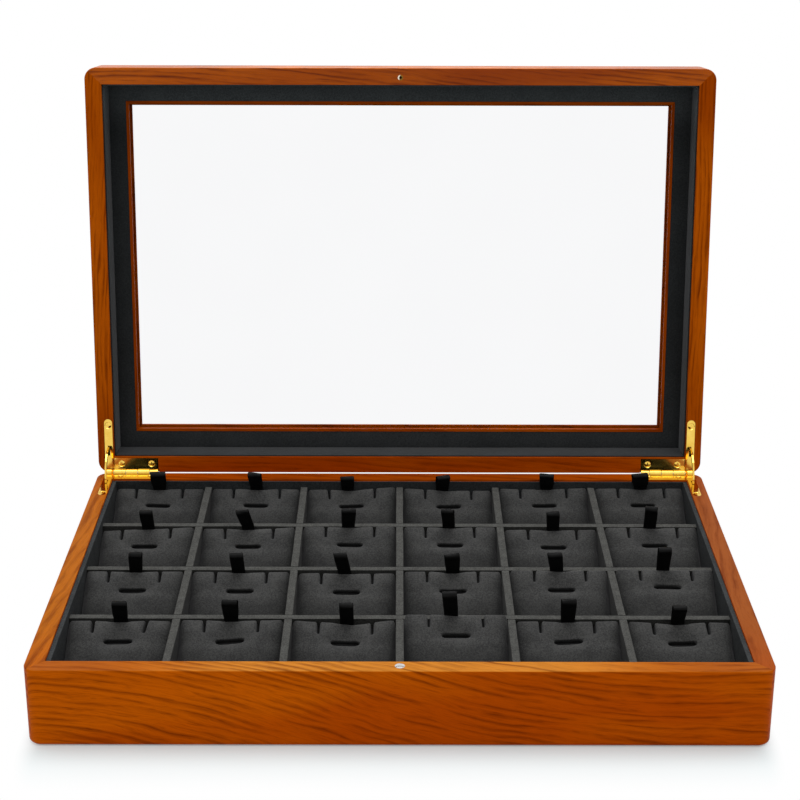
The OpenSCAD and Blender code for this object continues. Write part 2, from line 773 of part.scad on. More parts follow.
base_rail("front");  // front_rail
base_rail("rear");  // rear_rail
base_rail("left");  // left_rail
base_rail("right");  // right_rail
bottom_panel();
underside_felt();
floor_lining();
base_wall_linings();
for (i = [1:columns - 1])
    cross_divider(i);
for (i = [1:rows - 1])
    long_divider(i);
for (r = [1:rows], c = [1:columns])
    pad(r, c);
lid_rail("front");  // lid_front_rail
lid_rail("rear");  // lid_rear_rail
lid_rail("left");  // lid_left_rail
lid_rail("right");  // lid_right_rail
lid_top_frame();
window_glass();
glass_bead();
lid_wall_linings();
lid_border_lining();
lid_leaf("left");  // left_lid_leaf
lid_leaf("right");  // right_lid_leaf
base_leaf("left");  // left_base_leaf
base_leaf("right");  // right_base_leaf
stay("left");  // left_stay
stay("right");  // right_stay
hinge_pins();
lid_screws();
base_screws();
catch_magnet();
strike_screw();
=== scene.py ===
# A hinged wooden display box, open, on a white studio floor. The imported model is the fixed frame:
# its wood, glass and brass are finished here, and its cloth pieces are modelled again in full.
import json
import math

import bmesh
import bpy
import numpy as np
from mathutils import Euler, Matrix, Vector, noise


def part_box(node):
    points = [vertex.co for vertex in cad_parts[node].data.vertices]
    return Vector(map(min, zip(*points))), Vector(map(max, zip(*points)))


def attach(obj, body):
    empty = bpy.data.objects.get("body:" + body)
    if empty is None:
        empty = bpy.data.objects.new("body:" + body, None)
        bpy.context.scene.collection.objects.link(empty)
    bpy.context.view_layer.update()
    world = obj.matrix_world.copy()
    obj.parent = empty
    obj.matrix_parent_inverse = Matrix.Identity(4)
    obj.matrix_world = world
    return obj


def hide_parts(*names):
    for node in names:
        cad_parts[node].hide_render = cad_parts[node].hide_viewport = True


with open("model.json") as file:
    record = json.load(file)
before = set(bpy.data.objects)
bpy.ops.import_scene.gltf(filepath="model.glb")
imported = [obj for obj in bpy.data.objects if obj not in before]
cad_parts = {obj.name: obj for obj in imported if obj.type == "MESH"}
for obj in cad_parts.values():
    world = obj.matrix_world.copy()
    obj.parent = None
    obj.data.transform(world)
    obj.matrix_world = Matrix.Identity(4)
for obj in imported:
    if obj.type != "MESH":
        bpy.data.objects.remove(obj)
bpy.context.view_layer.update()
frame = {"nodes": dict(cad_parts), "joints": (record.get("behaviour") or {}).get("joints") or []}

MM = 0.001

# Camera: its place, its turn and its focal length, fitted to the photograph's 800 pixel frame
PHOTO_PX = 800
FOCAL_PX = 1806.244
SENSOR_MM = 36
CAMERA_AT = Vector((-1.458, -851.164, 454.891)) * MM
CAMERA_DOWN_DEG = 20.893
CAMERA_RIGHT_DEG = 0.094
CAMERA_ROLL_DEG = 0.15

# Lid: the hinge line and the angle at which it stands open
lid_hinge = next(j for j in frame["joints"] if j["name"] == "lid_hinge")
HINGE_AT = Vector(lid_hinge["pos_m"])
OPEN_DEG = -lid_hinge["range_deg"][0]
OPEN_TURN = (
    Matrix.Translation(HINGE_AT)
    @ Matrix.Rotation(-math.radians(OPEN_DEG), 4, "X")
    @ Matrix.Translation(-HINGE_AT)
)

# Light: how strongly the white room lights the box, how strongly it shows, and what is added to
# the floor near the box where it is seen
ROOM_LIGHT = 0.62
PLAIN_WHITE = 1.0
FLOOR_LIFT = 0.15

# Floor: its size in metres; then, in millimetres, where its shadow starts to fade into plain white
# and over how far
FLOOR_SIZE = 8
SHADOW_HALF_W = 168
SHADOW_HALF_D = 116
SHADOW_FADE_SIDE = 12
SHADOW_FADE_REAR = 6
SHADOW_FADE_FRONT = 40

# Wood, in millimetres: where a frame's mitres start from its middle, how far off the grain of its
# ends is taken from, how long a bow in the grain is and how far out the painted light on a top
# fades
MITRE_FROM = 59
END_GRAIN_MOVE = 400
BOW_L = 108
TOP_FADE = 150

# Lined boards and dividers, in millimetres
SIDE_LINING_T = 2.4
END_LINING_T = 0.8
LID_LINING_T = 0.8
LINING_EDGE_R = 0.3
FLOOR_EDGE_R = 0.4
BORDER_EDGE_R = 0.35
DIVIDER_EDGE_R = 1.1
LINING_PLAY = 0.1
LAP_PLAY = 0.05
LAP_SEAM = 0.35

# Cells
ROWS = 4
COLUMNS = 6
divider_low, divider_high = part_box("cross_divider_1")
DIVIDER_T = divider_high.x - divider_low.x

# Pads, in millimetres
pad_low, pad_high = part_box("pad_r1c1")
PAD_W = (pad_high.x - pad_low.x) / MM
PAD_D = (pad_high.y - pad_low.y) / MM
PAD_FRONT_H = 4
PAD_REAR_H = (divider_high.z - pad_low.z) / MM - 0.2
PAD_EDGE_R = 1.5
SLOPE = math.atan((PAD_REAR_H - PAD_FRONT_H) / PAD_D)
SLOPE_L = PAD_D / math.cos(SLOPE)
SLOT_L = 14.6
SLOT_W = 3.6
SLOT_END_R = 1.8
SLOT_FROM_REAR = 12.6
NOTCH_X = 13.3
NOTCH_W = 1.7
NOTCH_FLOOR_W = 1.4
NOTCH_L = 7.8
NOTCH_DEPTH = 4
COVER_RISE = 1
RIBBON_W = 7
RIBBON_T = 0.35
RIBBON_H = 10.5
RIBBON_LOOP_R = 1.9
RIBBON_TAIL = 11
RIBBON_TWIST_FROM = 2
# The cloth solver is at its best on a larger pad, so each pad is made at this scale
BENCH = 0.01
# The attribute that holds the painted light and shade of a pad's cover at each point
SHADE_NAME = "cover_shade"


def paint(red, green, blue):
    """A colour as a screen shows it, 0 to 255, as the linear numbers that a socket takes."""
    linear = []
    for level in (red, green, blue):
        share = level / 255
        linear.append(share / 12.92 if share <= 0.04045 else ((share + 0.055) / 1.055) ** 2.4)
    return (*linear, 1)


class Field:
    """A socket of a node tree. Python's operators on fields add Math nodes to the tree."""

    def __init__(self, tree, socket=None):
        self.tree = tree
        self.socket = socket

    def add(self, kind, settings=None, values=None, out=0):
        """Adds any node: its settings first, then the values or links of its sockets."""
        made = self.tree.nodes.new(kind)
        for name, value in (settings or {}).items():
            if name == "stops":
                set_stops(made.color_ramp, value)
            else:
                setattr(made, name, value)
        for name, value in (values or {}).items():
            if isinstance(value, Field):
                self.tree.links.new(value.socket, made.inputs[name])
            else:
                made.inputs[name].default_value = value
        return Field(self.tree, made.outputs[out])

    def maths(self, operation, *values):
        return self.add("ShaderNodeMath", {"operation": operation}, dict(enumerate(values)))

    def __add__(self, other):
        return self.maths("ADD", self, other)

    def __sub__(self, other):
        return self.maths("SUBTRACT", self, other)

    def __rsub__(self, other):
        return self.maths("SUBTRACT", other, self)

    def __mul__(self, other):
        return self.maths("MULTIPLY", self, other)

    def __rmul__(self, other):
        return self.maths("MULTIPLY", other, self)

    def __truediv__(self, other):
        return self.maths("DIVIDE", self, other)

    def __pow__(self, other):
        return self.maths("POWER", self, other)

    def to(self, shader, socket):
        """Links this field to a socket of a shader node."""
        self.tree.links.new(self.socket, shader.inputs[socket])


def set_stops(ramp, stops):
    """Gives a colour ramp its stops, each a place and a grey level."""
    while len(ramp.elements) < len(stops):
        ramp.elements.new(0.5)
    for element, (place, level) in zip(ramp.elements, stops):
        element.position = place
        element.color = (level, level, level, 1)


def begin_material(name, constants):
    """A new material, a field that adds nodes to it, and its surface shader."""
    material = bpy.data.materials.new(name)
    material.use_nodes = True
    surface = material.node_tree.nodes["Principled BSDF"]
    for socket, value in constants.items():
        surface.inputs[socket].default_value = value
    return material, Field(material.node_tree), surface


def millimetres(nodes, turn=None, move=(0, 0, 0)):
    """Object coordinates in millimetres, turned and then moved."""
    where = nodes.add("ShaderNodeTexCoord", out="Object")
    return nodes.add(
        "ShaderNodeMapping",
        {"vector_type": "POINT"},
        {
            "Vector": where,
            "Location": move,
            "Rotation": turn or (0, 0, 0),
            "Scale": (1 / MM, 1 / MM, 1 / MM),
        },
    )


def axes(vector):
    """The three parts of a vector field."""
    return [vector.add("ShaderNodeSeparateXYZ", values={0: vector}, out=i) for i in range(3)]


def cloud(x, y, z, detail=2.0, roughness=0.5):
    """Soft noise about 0.5 at a point."""
    at = x.add("ShaderNodeCombineXYZ", values={0: x, 1: y, 2: z})
    return x.add(
        "ShaderNodeTexNoise",
        {"noise_dimensions": "3D"},
        {"Vector": at, "Scale": 1.0, "Detail": detail, "Roughness": roughness},
    )


def ramp(field, stops):
    """Turns a field into another by stops, each a place and a level."""
    made = field.add("ShaderNodeValToRGB", {"stops": stops}, {"Fac": field})
    made.socket.node.color_ramp.interpolation = "EASE"
    return made


def blend_colour(factor, first, second):
    """A colour between two, by a factor from 0 to 1."""
    return factor.add(
        "ShaderNodeMix", {"data_type": "RGBA"}, {0: factor, 6: first, 7: second}, out=2
    )


def bump(height, strength, distance):
    """A normal from a height between 0 and 1, where 1 stands a distance in millimetres proud."""
    return height.add(
        "ShaderNodeBump", values={"Height": height, "Strength": strength, "Distance": distance * MM}
    )


def mitre(x, y):
    """Turns the grain of a frame's two ends, up to the mitre line at each corner."""
    wide = x.maths("ABSOLUTE", x) - MITRE_FROM
    end = wide.maths("GREATER_THAN", wide, y.maths("ABSOLUTE", y))
    end_x = y + x.maths("SIGN", x) * END_GRAIN_MOVE
    return x + (end_x - x) * end, y + (-1 * wide - y) * end


def stained_wood(name, turn, move, board):
    """Stained and lacquered ash. X runs along the board, in millimetres. Growth rings lie round a
    pith line at (Y, Z), a gap apart. They fall along the board and bow by a reach about a place."""
    material, nodes, surface = begin_material(
        name,
        {
            "IOR": 1.45,
            "Specular IOR Level": 0.03,
            "Specular Tint": (1, 0.55, 0.2, 1),
            "Coat Weight": board["coat"],
            "Coat Roughness": 0.12,
        },
    )
    x, y, z = axes(millimetres(nodes, turn, move))
    if board["mitred"]:
        x, y = mitre(x, y)
    away_y = y - board["pith"][0]
    away_z = z - board["pith"][1]
    ring = (away_y * away_y + away_z * away_z) ** 0.5
    sway = (x - board["bow_at"]) / BOW_L
    ring = ring + x * board["fall"] + sway.maths("SINE", sway) * board["bow"]
    wander = cloud(x * 0.011, y * 0.03, z * 0.03, 2.0)
    ripple = cloud(x * 0.04, ring * 0.3, z * 0.02, 2.0)
    flow = ring + wander * 8 + ripple * 2.2
    count = flow / board["gap"]
    share = count.maths("FRACT", count)
    line = ramp(share, [(0, 0.0), (0.25, 0.25), (0.5, 0.75), (0.65, 1.0), (0.82, 0.45), (1, 0.0)])
    uneven = ramp(cloud(x * 0.03, flow * 0.33, z * 0.01, 3.0, 0.6), [(0.36, 0.0), (0.64, 1.0)])
    fibre = cloud(x * 0.05, flow * 1.5, z * 0.1, 3.0, 0.7)
    pores = ramp(cloud(x * 0.16, flow * 3.4, z * 0.3, 1.0), [(0.54, 0.0), (0.72, 1.0)])
    mood = cloud(x * 0.009, y * 0.03, z * 0.03, 2.0) + board["tone"]
    # Painted shade: the board grows darker towards its foot; it may also grow darker to the right
    mood = mood + x * board["darker_right"] - z * board["darker_low"]
    mood = ramp(mood, [(0.3, 0.0), (0.7, 1.0)])
    ground = blend_colour(mood, board["light"], board["dark"])
    # Painted light and shade: faces that look up take a colour of their own, as light from above
    # falls on them, fading out towards the board's ends, where another colour may take over
    upward = axes(nodes.add("ShaderNodeTexCoord", out="Normal"))[2]
    outward = x.maths("ABSOLUTE", x) / TOP_FADE
    on_top = ramp(upward, [(0.3, 0.0), (1, 1.0)]) * board["top"]
    in_middle = 1 - ramp(outward, [(0.4, 0.0), (1, 0.6)])
    ground = blend_colour(on_top * in_middle, ground, board["upper"])
    if "upper_end" in board:
        at_end = ramp(outward, [(0.55, 0.0), (1, 0.8)])
        ground = blend_colour(on_top * at_end, ground, board["upper_end"])
    mark = line * uneven * board["strength"] + pores * 0.2 + (fibre - 0.5) * 0.7 + 0.03
    mark = mark.add("ShaderNodeClamp", values={0: mark, 1: 0.0, 2: 1.0})
    blend_colour(mark, ground, board["streak"]).to(surface, "Base Color")
    (mark * 0.12 + 0.34).to(surface, "Roughness")
    bump(1 - mark * 0.5, 0.1, 0.08).to(surface, "Normal")
    return material


def suede(
    name, colour, light, patch_mm, sheen, bump_mm=0.1, sides=1.0, by_height=None, mesh_shading=False
):
    """Short-napped microfibre: a fine salt-and-pepper nap, whose tone wanders in faint patches.
    Besides, light and shade may be painted on: its upright faces darker by a factor, a level that
    follows the height, given in millimetres, or a level that its mesh carries."""
    material, nodes, surface = begin_material(
        name,
        {
            "Specular IOR Level": 0.08,
            "Sheen Weight": sheen,
            "Sheen Roughness": 0.5,
            "Sheen Tint": (0.8, 0.8, 0.82, 1),
        },
    )
    x, y, z = axes(millimetres(nodes))
    size = 1 / patch_mm
    patch = cloud(x * size, y * size, z * size, 2.0, 0.55)
    fleck = cloud(x * 1.1, y * 1.1, z * 1.1, 2.0, 0.7)
    nap = cloud(x * 2.6, y * 2.6, z * 2.6, 1.0)
    shade = ramp(patch * 0.2 + fleck * 0.42 + nap * 0.38, [(0.38, 0.0), (0.62, 1.0)])
    cover = blend_colour(shade, colour, light)
    level = None
    # Painted light and shade: upright faces darker by a factor, a level that follows the height, or
    # a level that the mesh carries
    if sides != 1:
        upward = axes(nodes.add("ShaderNodeTexCoord", out="Normal"))[2]
        level = ramp(upward, [(0.5, sides), (0.95, 1.0)])
    if by_height:
        most = max(height for height, _ in by_height)
        level = ramp(z / most, [(height / most, share) for height, share in by_height])
    if mesh_shading:
        level = nodes.add("ShaderNodeAttribute", {"attribute_name": SHADE_NAME}, out=2)
    if level is not None:
        cover = nodes.add("ShaderNodeVectorMath", {"operation": "SCALE"}, {0: cover, 3: level})
    cover.to(surface, "Base Color")
    (shade * -0.1 + 0.95).to(surface, "Roughness")
    bump(fleck * 0.4 + nap * 0.6, 0.35, bump_mm).to(surface, "Normal")
    return material


def satin_ribbon():
    """Black satin, ribbed across its width by the weave."""
    material, nodes, surface = begin_material(
        "ribbon_satin",
        {"Specular IOR Level": 0.1, "Sheen Weight": 0.005, "Sheen Roughness": 0.3},
    )
    where = nodes.add("ShaderNodeUVMap", {"uv_map": "UVMap"})
    u, v, _ = axes(where)
    ribs = (v * 330).maths("SINE", v * 330) * 0.5 + 0.5
    worn = cloud(u * 4, v * 9, v * 0, 2.0)
    blend_colour(worn, paint(2, 2, 2), paint(6, 6, 6)).to(surface, "Base Color")
    (worn * 0.15 + 0.36).to(surface, "Roughness")
    bump(ribs, 0.35, 0.05).to(surface, "Normal")
    return material


def metal(name, bright, deep, rough, scale):
    """A plated metal, with a faint polish that varies from place to place."""
    material, nodes, surface = begin_material(name, {"Metallic": 1.0})
    x, y, z = axes(millimetres(nodes))
    polish = cloud(x * scale, y * scale, z * scale, 2.0)
    blend_colour(polish, bright, deep).to(surface, "Base Color")
    (polish * 0.1 + rough).to(surface, "Roughness")
    bump(polish, 0.08, 0.05).to(surface, "Normal")
    return material


def recessed_brass(centre, recess_r):
    """A small brass head with painted shade in the recess in its middle and a painted highlight on
    its left.
    """
    material, nodes, surface = begin_material("strike_screw_brass", {"Metallic": 1.0})
    x, y, z = axes(millimetres(nodes))
    aside = x - centre.x / MM
    above = z - centre.z / MM
    off = (aside * aside + above * above) ** 0.5
    # Painted shade in the recess and a painted highlight on the left of the head
    recess = ramp(off / recess_r * 0.5, [(0.35, 1.0), (0.6, 0.0)])
    lit = ramp(aside * -0.5 + above * 0.1 + 0.5, [(0.55, 0.0), (0.95, 1.0)])
    worn = cloud(x * 1.1, y * 1.1, z * 1.1, 2.0)
    head = blend_colour(worn, paint(150, 112, 44), paint(104, 72, 26))
    head = blend_colour(lit, head, paint(236, 226, 206))
    blend_colour(recess, head, paint(34, 24, 16)).to(surface, "Base Color")
    (recess * 0.3 + 0.25).to(surface, "Roughness")
    bump(1 - recess, 0.5, 0.3).to(surface, "Normal")
    return material


def window_pane():
    """Clear, plain glass that lets light through to what is behind it."""
    material, nodes, surface = begin_material(
        "clear_pane", {"IOR": 1.02, "Transmission Weight": 1.0, "Specular IOR Level": 0.15}
    )
    x, y, z = axes(millimetres(nodes))
    haze = cloud(x * 0.02, y * 0.02, z * 0.02, 1.0)
    blend_colour(haze, (0.925, 0.927, 0.935, 1), (0.94, 0.942, 0.95, 1)).to(surface, "Base Color")
    (haze * 0.01).to(surface, "Roughness")
    shadow, falling = (
        nodes.add("ShaderNodeLightPath", out=n) for n in ("Is Shadow Ray", "Is Diffuse Ray")
    )
    unseen = shadow.maths("MAXIMUM", shadow, falling)
    clear = nodes.add("ShaderNodeBsdfTransparent", values={"Color": (0.93, 0.95, 0.95, 1)})
    glass = Field(material.node_tree, surface.outputs[0])
    output = material.node_tree.nodes["Material Output"]
    nodes.add("ShaderNodeMixShader", values={0: unseen, 1: glass, 2: clear}).to(output, "Surface")
    return material


def panel_board():
    """The raw underside panel: pale plywood with fine grain."""
    material, nodes, surface = begin_material("panel_board_ply", {"Specular IOR Level": 0.3})
    x, y, z = axes(millimetres(nodes))
    grain = cloud(x * 0.03, y * 0.8, z * 0.8, 3.0)
    blend_colour(grain, paint(150, 100, 58), paint(176, 128, 82)).to(surface, "Base Color")
    (grain * 0.2 + 0.6).to(surface, "Roughness")
    return material


# Modelling helpers


def only(obj):
    """Selects obj alone and makes it active."""
    bpy.ops.object.select_all(action="DESELECT")
    obj.select_set(True)
    bpy.context.view_layer.objects.active = obj


def cube(name, low, high):
    """A box between two corners."""
    bpy.ops.object.select_all(action="DESELECT")
    low, high = Vector(low), Vector(high)
    bpy.ops.mesh.primitive_cube_add(size=1, location=(low + high) / 2, scale=high - low)
    obj = bpy.context.object
    obj.name = name
    obj.data.name = name
    bpy.ops.object.transform_apply(location=True, rotation=True, scale=True)
    return obj


def choose(obj, kind, test):
    """In edit mode, selects the vertices, edges or faces that pass a test, and no others."""
    bpy.ops.mesh.select_mode(type=kind)
    bpy.ops.mesh.select_all(action="DESELECT")
    mesh = bmesh.from_edit_mesh(obj.data)
    for item in {"VERT": mesh.verts, "EDGE": mesh.edges, "FACE": mesh.faces}[kind]:
        if test(item):
            item.select_set(True)
    bmesh.update_edit_mesh(obj.data)


def cut(at, across):
    """In edit mode, cuts every face where a plane crosses the mesh."""
    bpy.ops.mesh.select_all(action="SELECT")
    bpy.ops.mesh.bisect(plane_co=at, plane_no=across)


def middle(edge):
    return (edge.verts[0].co + edge.verts[1].co) / 2


def along(edge):
    return (edge.verts[1].co - edge.verts[0].co).normalized()


def finish_with(obj, kind, **settings):
    """Adds a modifier and applies it."""
    only(obj)
    modifier = obj.modifiers.new(kind.title(), kind)
    for name, value in settings.items():
        setattr(modifier, name, value)
    bpy.ops.object.modifier_apply(modifier=modifier.name)


def round_edges(obj, width, segments):
    finish_with(
        obj,
        "BEVEL",
        width=width,
        segments=segments,
        limit_method="ANGLE",
        angle_limit=math.radians(40),
    )


def points_of(obj):
    co = np.zeros(len(obj.data.vertices) * 3, np.float32)
    obj.data.vertices.foreach_get("co", co)
    return co.reshape(-1, 3).astype(float)


def put_points(obj, points):
    obj.data.vertices.foreach_set("co", np.asarray(points, np.float32).ravel())
    obj.data.update()


def waver(obj, reach, size, seed):
    """Moves each point a little, as cloth over board does, by noise of a size in metres."""
    points = points_of(obj)
    for i, p in enumerate(points):
        shift = noise.noise_vector(Vector(p) / size + Vector((seed, seed * 1.7, -seed)))
        points[i] = p + np.array(shift) * reach
    put_points(obj, points)


def smooth(obj, degrees=50):
    only(obj)
    bpy.ops.object.shade_smooth_by_angle(angle=math.radians(degrees))


def centre_of(node):
    low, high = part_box(node)
    return (low + high) / 2


def shut_box(node):
    """Lowest and highest corner of a lid node with the lid shut."""
    back = OPEN_TURN.inverted()
    points = np.array([back @ v.co for v in frame["nodes"][node].data.vertices])
    return Vector(points.min(0)), Vector(points.max(0))


def finish_piece(obj, body, material, stands_for):
    """Gives a piece its material and says what it rides on and stands for."""
    obj.data.materials.clear()
    obj.data.materials.append(material)
    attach(obj, body)
    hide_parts(*stands_for)


def covered_board(name, low, high, radius, seed, turn=None):
    """A board wrapped in cloth: rounded edges, and faces that aren't quite flat."""
    obj = cube(name, low, high)
    size = Vector(high) - Vector(low)
    longest = max(range(3), key=lambda i: size[i])
    step = 4 * MM
    only(obj)
    bpy.ops.object.mode_set(mode="EDIT")
    choose(obj, "EDGE", lambda e: abs(along(e)[longest]) > 0.99)
    bpy.ops.mesh.subdivide(number_cuts=max(1, round(size[longest] / step)))
    bpy.ops.object.mode_set(mode="OBJECT")
    round_edges(obj, radius, 3)
    waver(obj, 0.06 * MM, 16 * MM, seed)
    if turn is not None:
        obj.data.transform(turn)
    smooth(obj)
    return obj


# Camera, light and floor


def make_camera():
    down, right_turn, roll = (
        math.radians(v) for v in (CAMERA_DOWN_DEG, CAMERA_RIGHT_DEG, CAMERA_ROLL_DEG)
    )
    forward = Vector(
        (
            math.sin(right_turn) * math.cos(down),
            math.cos(right_turn) * math.cos(down),
            -math.sin(down),
        )
    )
    level = Vector((math.cos(right_turn), -math.sin(right_turn), 0))
    upright = level.cross(forward)
    side = level * math.cos(roll) + upright * math.sin(roll)
    up = upright * math.cos(roll) - level * math.sin(roll)
    data = bpy.data.cameras.new("camera")
    data.sensor_width = SENSOR_MM
    data.lens = FOCAL_PX / PHOTO_PX * SENSOR_MM
    data.clip_end = 50
    camera = bpy.data.objects.new("camera", data)
    turn = Matrix((side, up, -forward)).transposed().to_4x4()
    camera.matrix_world = Matrix.Translation(CAMERA_AT) @ turn
    bpy.context.scene.collection.objects.link(camera)
    bpy.context.scene.camera = camera


def seen_directly(nodes):
    """1 for what the camera sees, straight on or in metal or glass, and 0 for light that falls."""
    names = ("Is Camera Ray", "Is Glossy Ray", "Is Transmission Ray")
    camera, glossy, through = (nodes.add("ShaderNodeLightPath", out=n) for n in names)
    return camera.maths("MAXIMUM", camera.maths("MAXIMUM", camera, glossy), through)


def glow(nodes, kind, strength):
    """A shader of plain white light."""
    return nodes.add(kind, values={"Color": (1, 1, 1, 1), "Strength": strength})


def make_world():
    world = bpy.data.worlds.new("studio")
    bpy.context.scene.world = world
    world.use_nodes = True
    nodes = Field(world.node_tree)
    room = glow(nodes, "ShaderNodeBackground", ROOM_LIGHT)
    white = glow(nodes, "ShaderNodeBackground", PLAIN_WHITE)
    output = world.node_tree.nodes["World Output"]
    mixed = nodes.add("ShaderNodeMixShader", values={0: seen_directly(nodes), 1: room, 2: white})
    mixed.to(output, "Surface")


def make_lamp(name, at, aim, size, power):
    data = bpy.data.lights.new(name, "AREA")
    data.shape = "RECTANGLE"
    data.size, data.size_y = size
    data.energy = power
    lamp = bpy.data.objects.new(name, data)
    lamp.location = at
    lamp.rotation_mode = "QUATERNION"
    lamp.rotation_quaternion = (Vector(aim) - Vector(at)).to_track_quat("-Z", "Y")
    bpy.context.scene.collection.objects.link(lamp)


def past(value, limit):
    """How far a field lies past a limit on either side of 0, and 0 within it."""
    beyond = value.maths("ABSOLUTE", value) - limit
    return beyond.maths("MAXIMUM", beyond, 0.0)


def make_floor():
    """A white floor whose shadow shows near the box; further off, the camera sees plain white."""
    bpy.ops.object.select_all(action="DESELECT")
    bpy.ops.mesh.primitive_plane_add(size=FLOOR_SIZE, location=(0, 0, 0))
    floor = bpy.context.object
    floor.name = "floor"
    material = bpy.data.materials.new("white_floor")
    material.use_nodes = True
    tree = material.node_tree
    tree.nodes.remove(tree.nodes["Principled BSDF"])
    nodes = Field(tree)
    x, y, _ = axes(millimetres(nodes))
    to_side = past(x, SHADOW_HALF_W) / SHADOW_FADE_SIDE
    to_front = (-1 * y - SHADOW_HALF_D) / SHADOW_FADE_FRONT
    to_rear = (y - SHADOW_HALF_D) / SHADOW_FADE_REAR
    along_y = to_front.maths("MAXIMUM", to_front.maths("MAXIMUM", to_front, to_rear), 0.0)
    away = (to_side * to_side + along_y * along_y) ** 0.5
    far = ramp(away, [(0, 0.0), (1, 1.0)])
    # The matt colour is bluish, so as to cancel the reddish light that the wood bounces into the
    # floor's shadow near the box
    matt = nodes.add("ShaderNodeBsdfDiffuse", values={"Color": (0.7, 0.795, 0.808, 1)})
    seen = seen_directly(nodes)
    lift = glow(nodes, "ShaderNodeEmission", FLOOR_LIFT)
    lifted = nodes.add("ShaderNodeAddShader", values={0: matt, 1: lift})
    near = nodes.add("ShaderNodeMixShader", values={0: seen, 1: matt, 2: lifted})
    plain = glow(nodes, "ShaderNodeEmission", PLAIN_WHITE)
    output = tree.nodes["Material Output"]
    mixed = nodes.add("ShaderNodeMixShader", values={0: far * seen, 1: near, 2: plain})
    mixed.to(output, "Surface")
    floor.data.materials.append(material)


# Wooden rails: each board has its own grain


def grain_turn(spin_deg, is_lid):
    """How a rail's Object coordinates are turned and moved, so that X runs along it, its outside
    faces -Y, and it lies as in the closed box."""
    spin = math.radians(spin_deg)
    back = math.radians(OPEN_DEG) if is_lid else 0
    turn = Euler((back, 0, spin), "XYZ")
    if not is_lid:
        return turn, (0, 0, 0)
    whole = Matrix.Rotation(spin, 4, "Z") @ OPEN_TURN.inverted()
    return turn, whole.translation / MM


def dress(node, material):
    mesh = frame["nodes"][node].data
    mesh.materials.clear()
    mesh.materials.append(material)


# How a board is stained and grained, unless its own line says otherwise: where its rings lie, how
# dark they are, its paler and darker stain, how much darker it grows to the right, how much painted
# shade darkens it low down, the colour of the painted light and shade on its upper face and, if
# given, at that face's ends, how strongly that shows, how glossy it is, and whether it is a frame
# whose grain turns at the mitres
PLAIN_BOARD = {
    "pith": (-90, 30),
    "gap": 3.2,
    "fall": 0.02,
    "bow": 8,
    "bow_at": 0,
    "tone": 0.0,
    "darker_right": 0.0,
    "darker_low": 0.0,
    "strength": 0.6,
    "light": paint(204, 92, 1),
    "dark": paint(184, 72, 0),
    "streak": paint(104, 34, 0),
    "upper": paint(255, 172, 62),
    "top": 1.0,
    "coat": 0.0,
    "mitred": False,
}


def wood(**given):
    return {**PLAIN_BOARD, **given}


def lid_wood(light=paint(190, 88, 4), dark=paint(156, 62, 0), **given):
    return wood(light=light, dark=dark, top=0.0, **given)


BOARDS = {
    "front_rail": wood(
        pith=(-236, -110), gap=2.7, fall=0.01, bow=24, bow_at=-25, tone=0.1, darker_right=0.0008,
        darker_low=0.006, upper=paint(213, 133, 44), upper_end=paint(172, 87, 20),
    ),
    "rear_rail": wood(
        pith=(-200, -90), gap=3.4, bow=9, bow_at=30, tone=0.08, upper=paint(158, 66, 3),
    ),
    "left_rail": wood(pith=(-260, -90), fall=0.03, bow_at=10, upper=paint(187, 103, 16)),
    "right_rail": wood(
        pith=(-260, -90), gap=3.4, fall=-0.02, bow=9, bow_at=-20, tone=0.06,
        upper=paint(158, 82, 30),
    ),
    "lid_front_rail": wood(
        pith=(-40, 10), gap=2.6, fall=0.05, bow_at=60, tone=0.05, strength=0.85,
        light=paint(188, 88, 5), dark=paint(150, 58, 0), upper=paint(230, 124, 28), coat=0.17,
    ),
    "lid_rear_rail": lid_wood(
        pith=(-30, 20), bow=6, bow_at=-30, tone=0.12, light=paint(182, 84, 2),
        dark=paint(160, 60, 0),
    ),
    "lid_left_rail": lid_wood(gap=2.2, bow=4, bow_at=20, strength=0.75),
    "lid_right_rail": lid_wood(gap=2.4, fall=-0.02, bow=4, bow_at=-10, strength=0.75),
    "lid_top_frame": wood(
        pith=(200, -90), gap=6.5, bow=14, bow_at=10, strength=0.8, top=0.0, mitred=True,
    ),
    "glass_bead": lid_wood(pith=(120, 40), gap=3.0, bow=6, tone=0.15, mitred=True),
}

# How far each rail is turned about the upright axis from the front one, in degrees
RAIL_SPIN = {"rear": 180, "left": 90, "right": -90}


def dress_wood():
    for node, own in BOARDS.items():
        side = node.replace("lid_", "").split("_")[0]
        is_lid = node.startswith("lid_") or node == "glass_bead"
        turn, move = grain_turn(RAIL_SPIN.get(side, 0), is_lid)
        dress(node, stained_wood(node + "_wood", turn, move, own))


# Metal parts


def rim_middle(node):
    """The middle of the end of a lid node that lies in the rim, with the lid open."""
    low, high = shut_box(node)
    return OPEN_TURN @ Vector(((low.x + high.x) / 2, (low.y + high.y) / 2, low.z))


def dress_metal():
    brass = metal(
        "polished_brass_gilt", paint(250, 218, 112), paint(226, 178, 62), rough=0.04, scale=0.2
    )
    steel = metal(
        "pin_steel_drawn", paint(196, 192, 186), paint(176, 172, 168), rough=0.25, scale=0.6
    )
    nickel = metal(
        "magnet_nickel_plate", paint(226, 224, 220), paint(214, 212, 210), rough=0.12, scale=0.5
    )
    sided = [
        f"{side}_{part}" for part in ("base_leaf", "lid_leaf", "stay") for side in ("left", "right")
    ]
    for node in (*sided, "base_screws", "lid_screws"):
        dress(node, brass)
    dress("strike_screw", recessed_brass(rim_middle("strike_screw"), recess_r=0.8))
    dress("hinge_pins", steel)
    dress("catch_magnet", nickel)


# Lined boards and dividers


